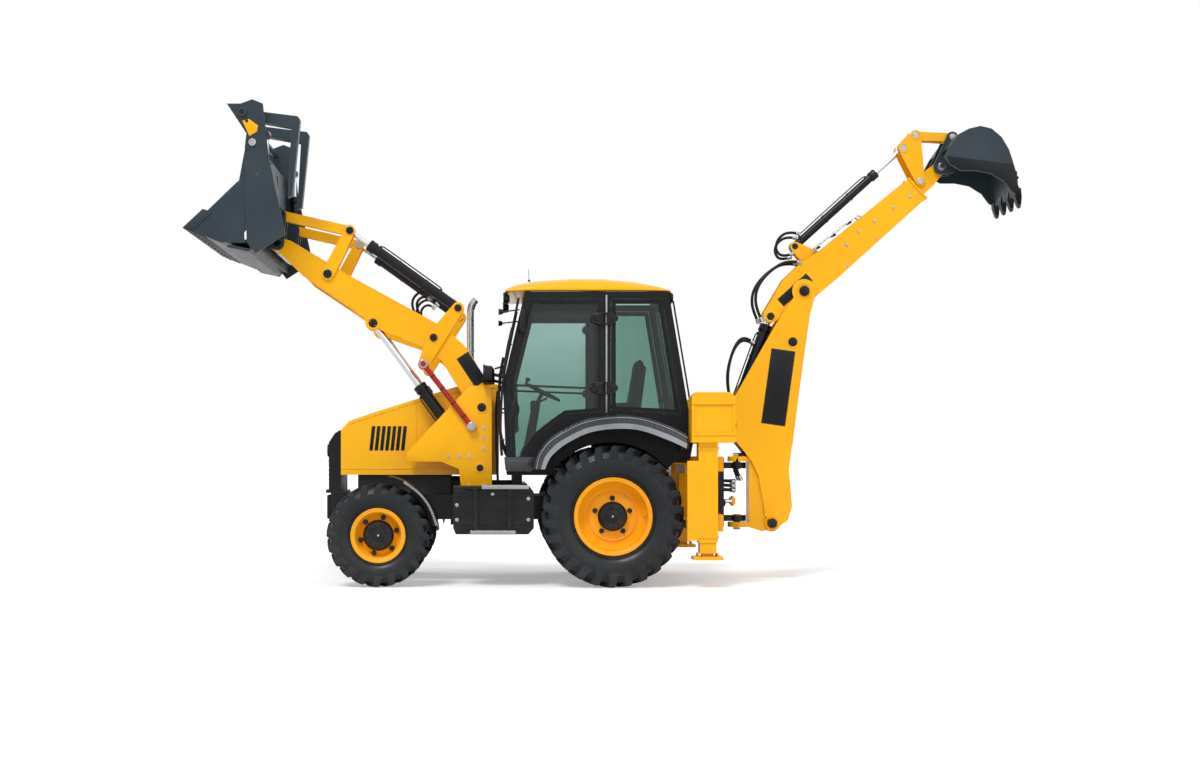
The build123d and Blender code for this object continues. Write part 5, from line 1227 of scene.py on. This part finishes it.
# hoses held along the machine
hoseRuns = {
    "tiltRamHoses": ("loader_arms", 13, True, [
        [(-1712, -476, 2806), (-1734, -464, 2834), (-1836, -462, 2872), (-1928, -464, 2800),
         (-1932, -468, 2690), (-1882, -480, 2600)],
        [(-1752, -476, 2776), (-1772, -466, 2800), (-1832, -466, 2812), (-1888, -466, 2760),
         (-1882, -470, 2680), (-1838, -480, 2590)],
    ]),
    "armHoses": ("loader_arms", 11, False, [
        [(-1340, -486, 1760), (-1500, -482, 2080), (-1680, -480, 2330), (-1980, -482, 2520),
         (-2400, -484, 2810), (-2860, -484, 3060)],
        [(-1310, -486, 1790), (-1470, -482, 2110), (-1655, -480, 2365), (-1965, -482, 2555),
         (-2385, -484, 2845), (-2850, -484, 3090)],
    ]),
    "dipperRamHoses": ("dipper_barrel", 15, True, [
        [(1275, -58, 1700), (1222, -84, 1880), (1218, -90, 2130), (1300, -76, 2380), (1400, -54, 2452),
         (1486, -34, 2386)],
        [(1292, 58, 1720), (1242, 86, 1900), (1238, 92, 2130), (1318, 80, 2370), (1420, 56, 2436),
         (1500, 34, 2372)],
    ]),
    "boomHoses": ("boom", 9, False, [
        [(1634, y, 1250), (1604, y, 1420), (1640, y, 1700), (1712, y, 2060), (1790, y, 2300)]
        for y in (-100, -81, 81, 100)
    ]),
    "dipperHoses": ("dipper", 15, True, [
        [(1560, y, 2600), (1500, y * 1.05, 2720), (1490, y * 1.1, 2880), (1560, y * 1.1, 3020), (1690, y, 3140),
         (1820, y, 3205), (1945, y * 0.95, 3190)]
        for y in (-112, 112)
    ]),
    "bucketRamHoses": ("extension", 14, True, [
        [(1876, -62, 3280), (1770, -80, 3240), (1692, -88, 3320), (1730, -84, 3440), (1836, -72, 3504),
         (1945, -54, 3480)],
        [(1880, 62, 3260), (1776, 80, 3224), (1712, 88, 3312), (1744, 84, 3412), (1840, 72, 3470),
         (1930, 54, 3450)],
    ]),
    "dipperPipes": ("dipper", 8, False, [
        [alongLine(*dipperWay, u, v)[:1] + (y,) + alongLine(*dipperWay, u, v)[1:]
         for u, v in ((330, 226), (360, 250), (640, 228), (900, 208), (930, 190), (935, 150))]
        for y in (-82, 82)
    ]),
    "slewHoses": ("carriage", 16, True, [
        [(1104, hand * 140, z), (1160, hand * 134, z + 6), (1222, hand * 74, z + 5), (1292, hand * 50, z)]
        for hand in (-1, 1) for z in (900, 945, 990)
    ]),
    "kingpostHoses": ("kingpost", 15, True, [
        [(1352, hand * 88, 1010), (1296, hand * 90, 1110), (1318, hand * 86, 1226), (1410, hand * 82, 1284),
         (1540, hand * 80, 1240)]
        for hand in (-1, 1)
    ]),
    "cabHoses": ("chassis", 13, False, [
        [(-1090, y, 1880), (-1110, y, 1700), (-1104, y, 1450), (-1100, y, 1200), (-1090, y, 1000)]
        for y in (-560, -528, 528, 560)
    ]),
    "clamHoses": ("loader_bucket", 10, True, [
        [(-3250, -1060, 3560), (-3180, -1000, 3640), (-3160, -900, 3600), (-3200, -800, 3460),
         (-3290, -720, 3400)],
    ]),
}
for name, (body, radius, fitted, runs) in hoseRuns.items():
    if name in ("tiltRamHoses", "armHoses", "clamHoses"):
        runs = runs + [[(x, -y, z) for x, y, z in points] for points in runs]
    hoses(name, runs, radius, body, "pinSteel" if name == "dipperPipes" else "hoseRubber", fitted)
clips = []
for u in (420, 620, 820):
    x, z = alongLine(*dipperWay, u, 236 - (u - 330) * 0.06)
    clips.append(block((x - 16, -96, z - 14), (x + 16, 96, z + 2), 3))
finishPiece("pipeClips", gather(*clips), "dipper", "blackPaint")
print("hoses ready")

# digging arm trim
adjusters = []
for u, v in ((633, 59), (809, 83), (1001, 53), (1230, 26), (1427, -2)):
    x, z = alongLine(*dipperWay, u, v)
    adjusters += [bolt((x, -106, z), 17, tall=14), rod((x, -124, z), (x, -104, z), 6, sides=16)]
for u in (500, 900, 1300):
    x, z = alongLine(*dipperWay, u, -96)
    adjusters.append(bolt((x, -106, z), 12))
finishPiece("dipperAdjusters", mirrored(*adjusters), "dipper", "pinSteel")
bossRings = {
    "boom": [(pivot["boomFoot"], -138, 62), (pivot["boomRamEye"], -138, 52), (pivot["dipperRamFoot"], -138, 56),
             (pivot["boomTop"], -138, 74)],
    "kingpost": [(pivot["boomRamFoot"], -108, 48)],
    "dipper": [(pivot["dipperRamEye"], -105, 44)],
    "tipping_lever": [(pivot["bucketRamEye"], -107, 40), (pivot["tippingLink"], -107, 40),
                      (pivot["tippingPin"], -107, 38)],
    "dig_bucket": [(pivot["dipperNose"], -96, 44), (pivot["digLink"], -96, 40)],
    "loader_arms": [(pivot["armFoot"], -600, 82), (pivot["liftEye"], -600, 58)],
    "level_levers": [(pivot["leverPivot"], -622, 42), (pivot["tiltFoot"], -622, 40),
                     (pivot["linkHigh"], -622, 44)],
    "tilt_levers": [(pivot["leverPin"], -622, 48), (pivot["tiltEye"], -622, 42)],
    "loader_bucket": [(pivot["bucketPin"], -630, 48), (pivot["bucketLink"], -630, 44)],
}
for body, rings in bossRings.items():
    made = []
    for (x, z), face, radius in rings:
        profile = [(radius - 4, 2), (radius - 2, -5), (radius + 8, -5), (radius + 12, 2)]
        made.append(turned((x, face, z), profile, steps=44))
    finishPiece(f"{body}BossRings", mirrored(*made), body, "slatePaint" if "bucket" in body else "yellowPaint")
foldLine = [(3340, 4205), (3368, 4124), (3479, 4063), (3630, 4062), (3780, 4033), (3904, 3954), (3981, 3853),
            (4044, 3824), (4028, 4052), (4003, 4060), (3996, 4120)]
finishPiece("digBucketCheeks", mirrored(plate(foldLine, -404, -398, 1.5)), "dig_bucket", "blackPaint")
# low and high x, half width and height of a tooth's sections
toothSections = [(4014, 4066, 46, 3890), (4012, 4076, 44, 3800), (4036, 4072, 34, 3720), (4052, 4066, 28, 3692)]
caps = []
for y in (-365, -122, 122, 365):
    sections = [[(low, y - half, z), (high, y - half, z), (high, y + half, z), (low, y + half, z)]
                for low, high, half, z in toothSections]
    caps.append(soften(stepped(sections), 4, 1, 30))
finishPiece("digBucketTeeth", gather(*caps), "dig_bucket", "blackPaint")
cutter = [bolt((4034, -404, z), 14) for z in (3900, 3990)] + [bolt((3700, -404, 4090), 14)]
finishPiece("digBucketBolts", mirrored(*cutter), "dig_bucket", "blackPaint")

# weld beads along the plated arms
welds = {
    # body: its axis, the outer face and the bead's distances along and off the axis
    "boom": (boomWay, -139, [(800, -91), (1205, -86), (1642, -83), (2072, -86)]),
    "dipper": (dipperWay, -106, [(320, -126), (900, -126), (1530, -126)]),
}
for body, (axis, face, points) in welds.items():
    places = [alongLine(*axis, u, v) for u, v in points]
    bead = strand([(x, face, z) for x, z in places], 3.5)
    finishPiece(f"{body}Welds", mirrored(bead), body, "yellowPaint", 60)
armWelds = [strand([(x, -601, z) for x, z in points], 3) for points in (
    [(-3090, 3330), (-2470, 2955), (-1960, 2674)], [(-2985, 3015), (-2385, 2604), (-2235, 2482)])]
finishPiece("armWelds", mirrored(*armWelds), "loader_arms", "yellowPaint", 60)
print("arm trim ready")

# hood, nose, stack and level links
louvres = []
for x in range(-2360, -2047, 52):
    louvres.append(plate([(x, 1300), (x + 34, 1300), (x + 60, 1540), (x + 26, 1540)], -378, -370, 3))
finishPiece("hoodLouvres", mirrored(*louvres), "hood", "darkPanel")
seams = [strand([(-2630, -374, 1120), (-1100, -374, 1120)], 4),
         strand([(-1900, -374, 1120), (-1900, -374, 1795)], 3),
         strand([(-2560, -374, 1560), (-2300, -374, 1652), (-1500, -374, 1900), (-1100, -374, 1925)], 4)]
finishPiece("hoodSeams", mirrored(*seams), "hood", "yellowPanel", 60)
noseBits, noseLamps = [], []
for n in range(9):
    z = 960 + n * 46
    noseBits.append(swung(block((-2772, -300, z), (-2756, 300, z + 10), 2), (-2764, 0, z), 18))
for hand in (-1, 1):
    shell, lens = workLamp(-2752, hand * 300, 1300, -1, 62, 50)
    noseBits.append(shell)
    noseLamps.append(lens)
noseBits.append(block((-2790, -372, 880), (-2744, 372, 914), 8))
finishPiece("noseGrilleBars", gather(*noseBits), "hood", "blackPaint")
finishPiece("noseLampLenses", gather(*noseLamps), "hood", "lampGlass")
finishPiece("noseWeight", block((-2786, -300, 620), (-2738, 300, 860), 14), "chassis", "blackPaint")
pipeLook = [(-1373, 420, 1960), (-1373, 420, 2300), (-1373, 420, 2690), (-1372, 420, 2770), (-1352, 420, 2822),
            (-1322, 420, 2856)]
stack = [strand(pipeLook, 38, sides=8),
         turned((-1373, 420, 1940), [(40, -10), (52, -6), (54, 0), (54, 60), (52, 66), (40, 70)], "Z", 40),
         turned((-1373, 420, 2330), [(38, -10), (43, -8), (43, 8), (38, 10)], "Z", 40)]
finishPiece("exhaustPipe", gather(*stack), "chassis", "stackSteel", 50)
finishPiece("exhaustMouth",
            turned((-1320, 420, 2859), [(30, 2), (36, 2), (36, -8), (30, -10), (0, -12)], (0.66, 0, 0.75), 36),
            "chassis", "darkPanel")
linkTrim = []
linkWay = Vector((470, 0, -607)).normalized()
for distance in (150, 300, 480, 640):
    x, z = alongLine(pivot["linkHigh"], pivot["linkLow"], distance)
    linkTrim.append(turned((x, -672, z), [(25, -6), (29, -5), (29, 5), (25, 6)], linkWay, 32))
finishPiece("levelLinkBands", mirrored(*linkTrim), "level_links", "blackPaint")
eyeProfile = [(26, 2), (27, -4), (38, -4), (44, 0), (44, 2)]
linkEyes = [turned((x, -698, z), eyeProfile, steps=40) for x, z in (pivot["linkHigh"], pivot["linkLow"])]
finishPiece("levelLinkEyes", mirrored(*linkEyes), "level_links", "pinSteel")
for side, hand in bothSides:
    near, far = spanned(hand * 978, hand * 1222)
    feet = [block((742, near, 268), (1033, far, 280), 5)]
    near, far = spanned(hand * 1000, hand * 1200)
    for x in (800, 980):
        feet.append(plate([(x - 8, 299), (x + 8, 299), (x + 8, 330), (x - 8, 330)], near, far, 2))
    finishPiece(f"{side}FootTrim", gather(*feet), f"stabiliser_{side}", "yellowPaint")
print("small trim ready")

print("pieces ready")
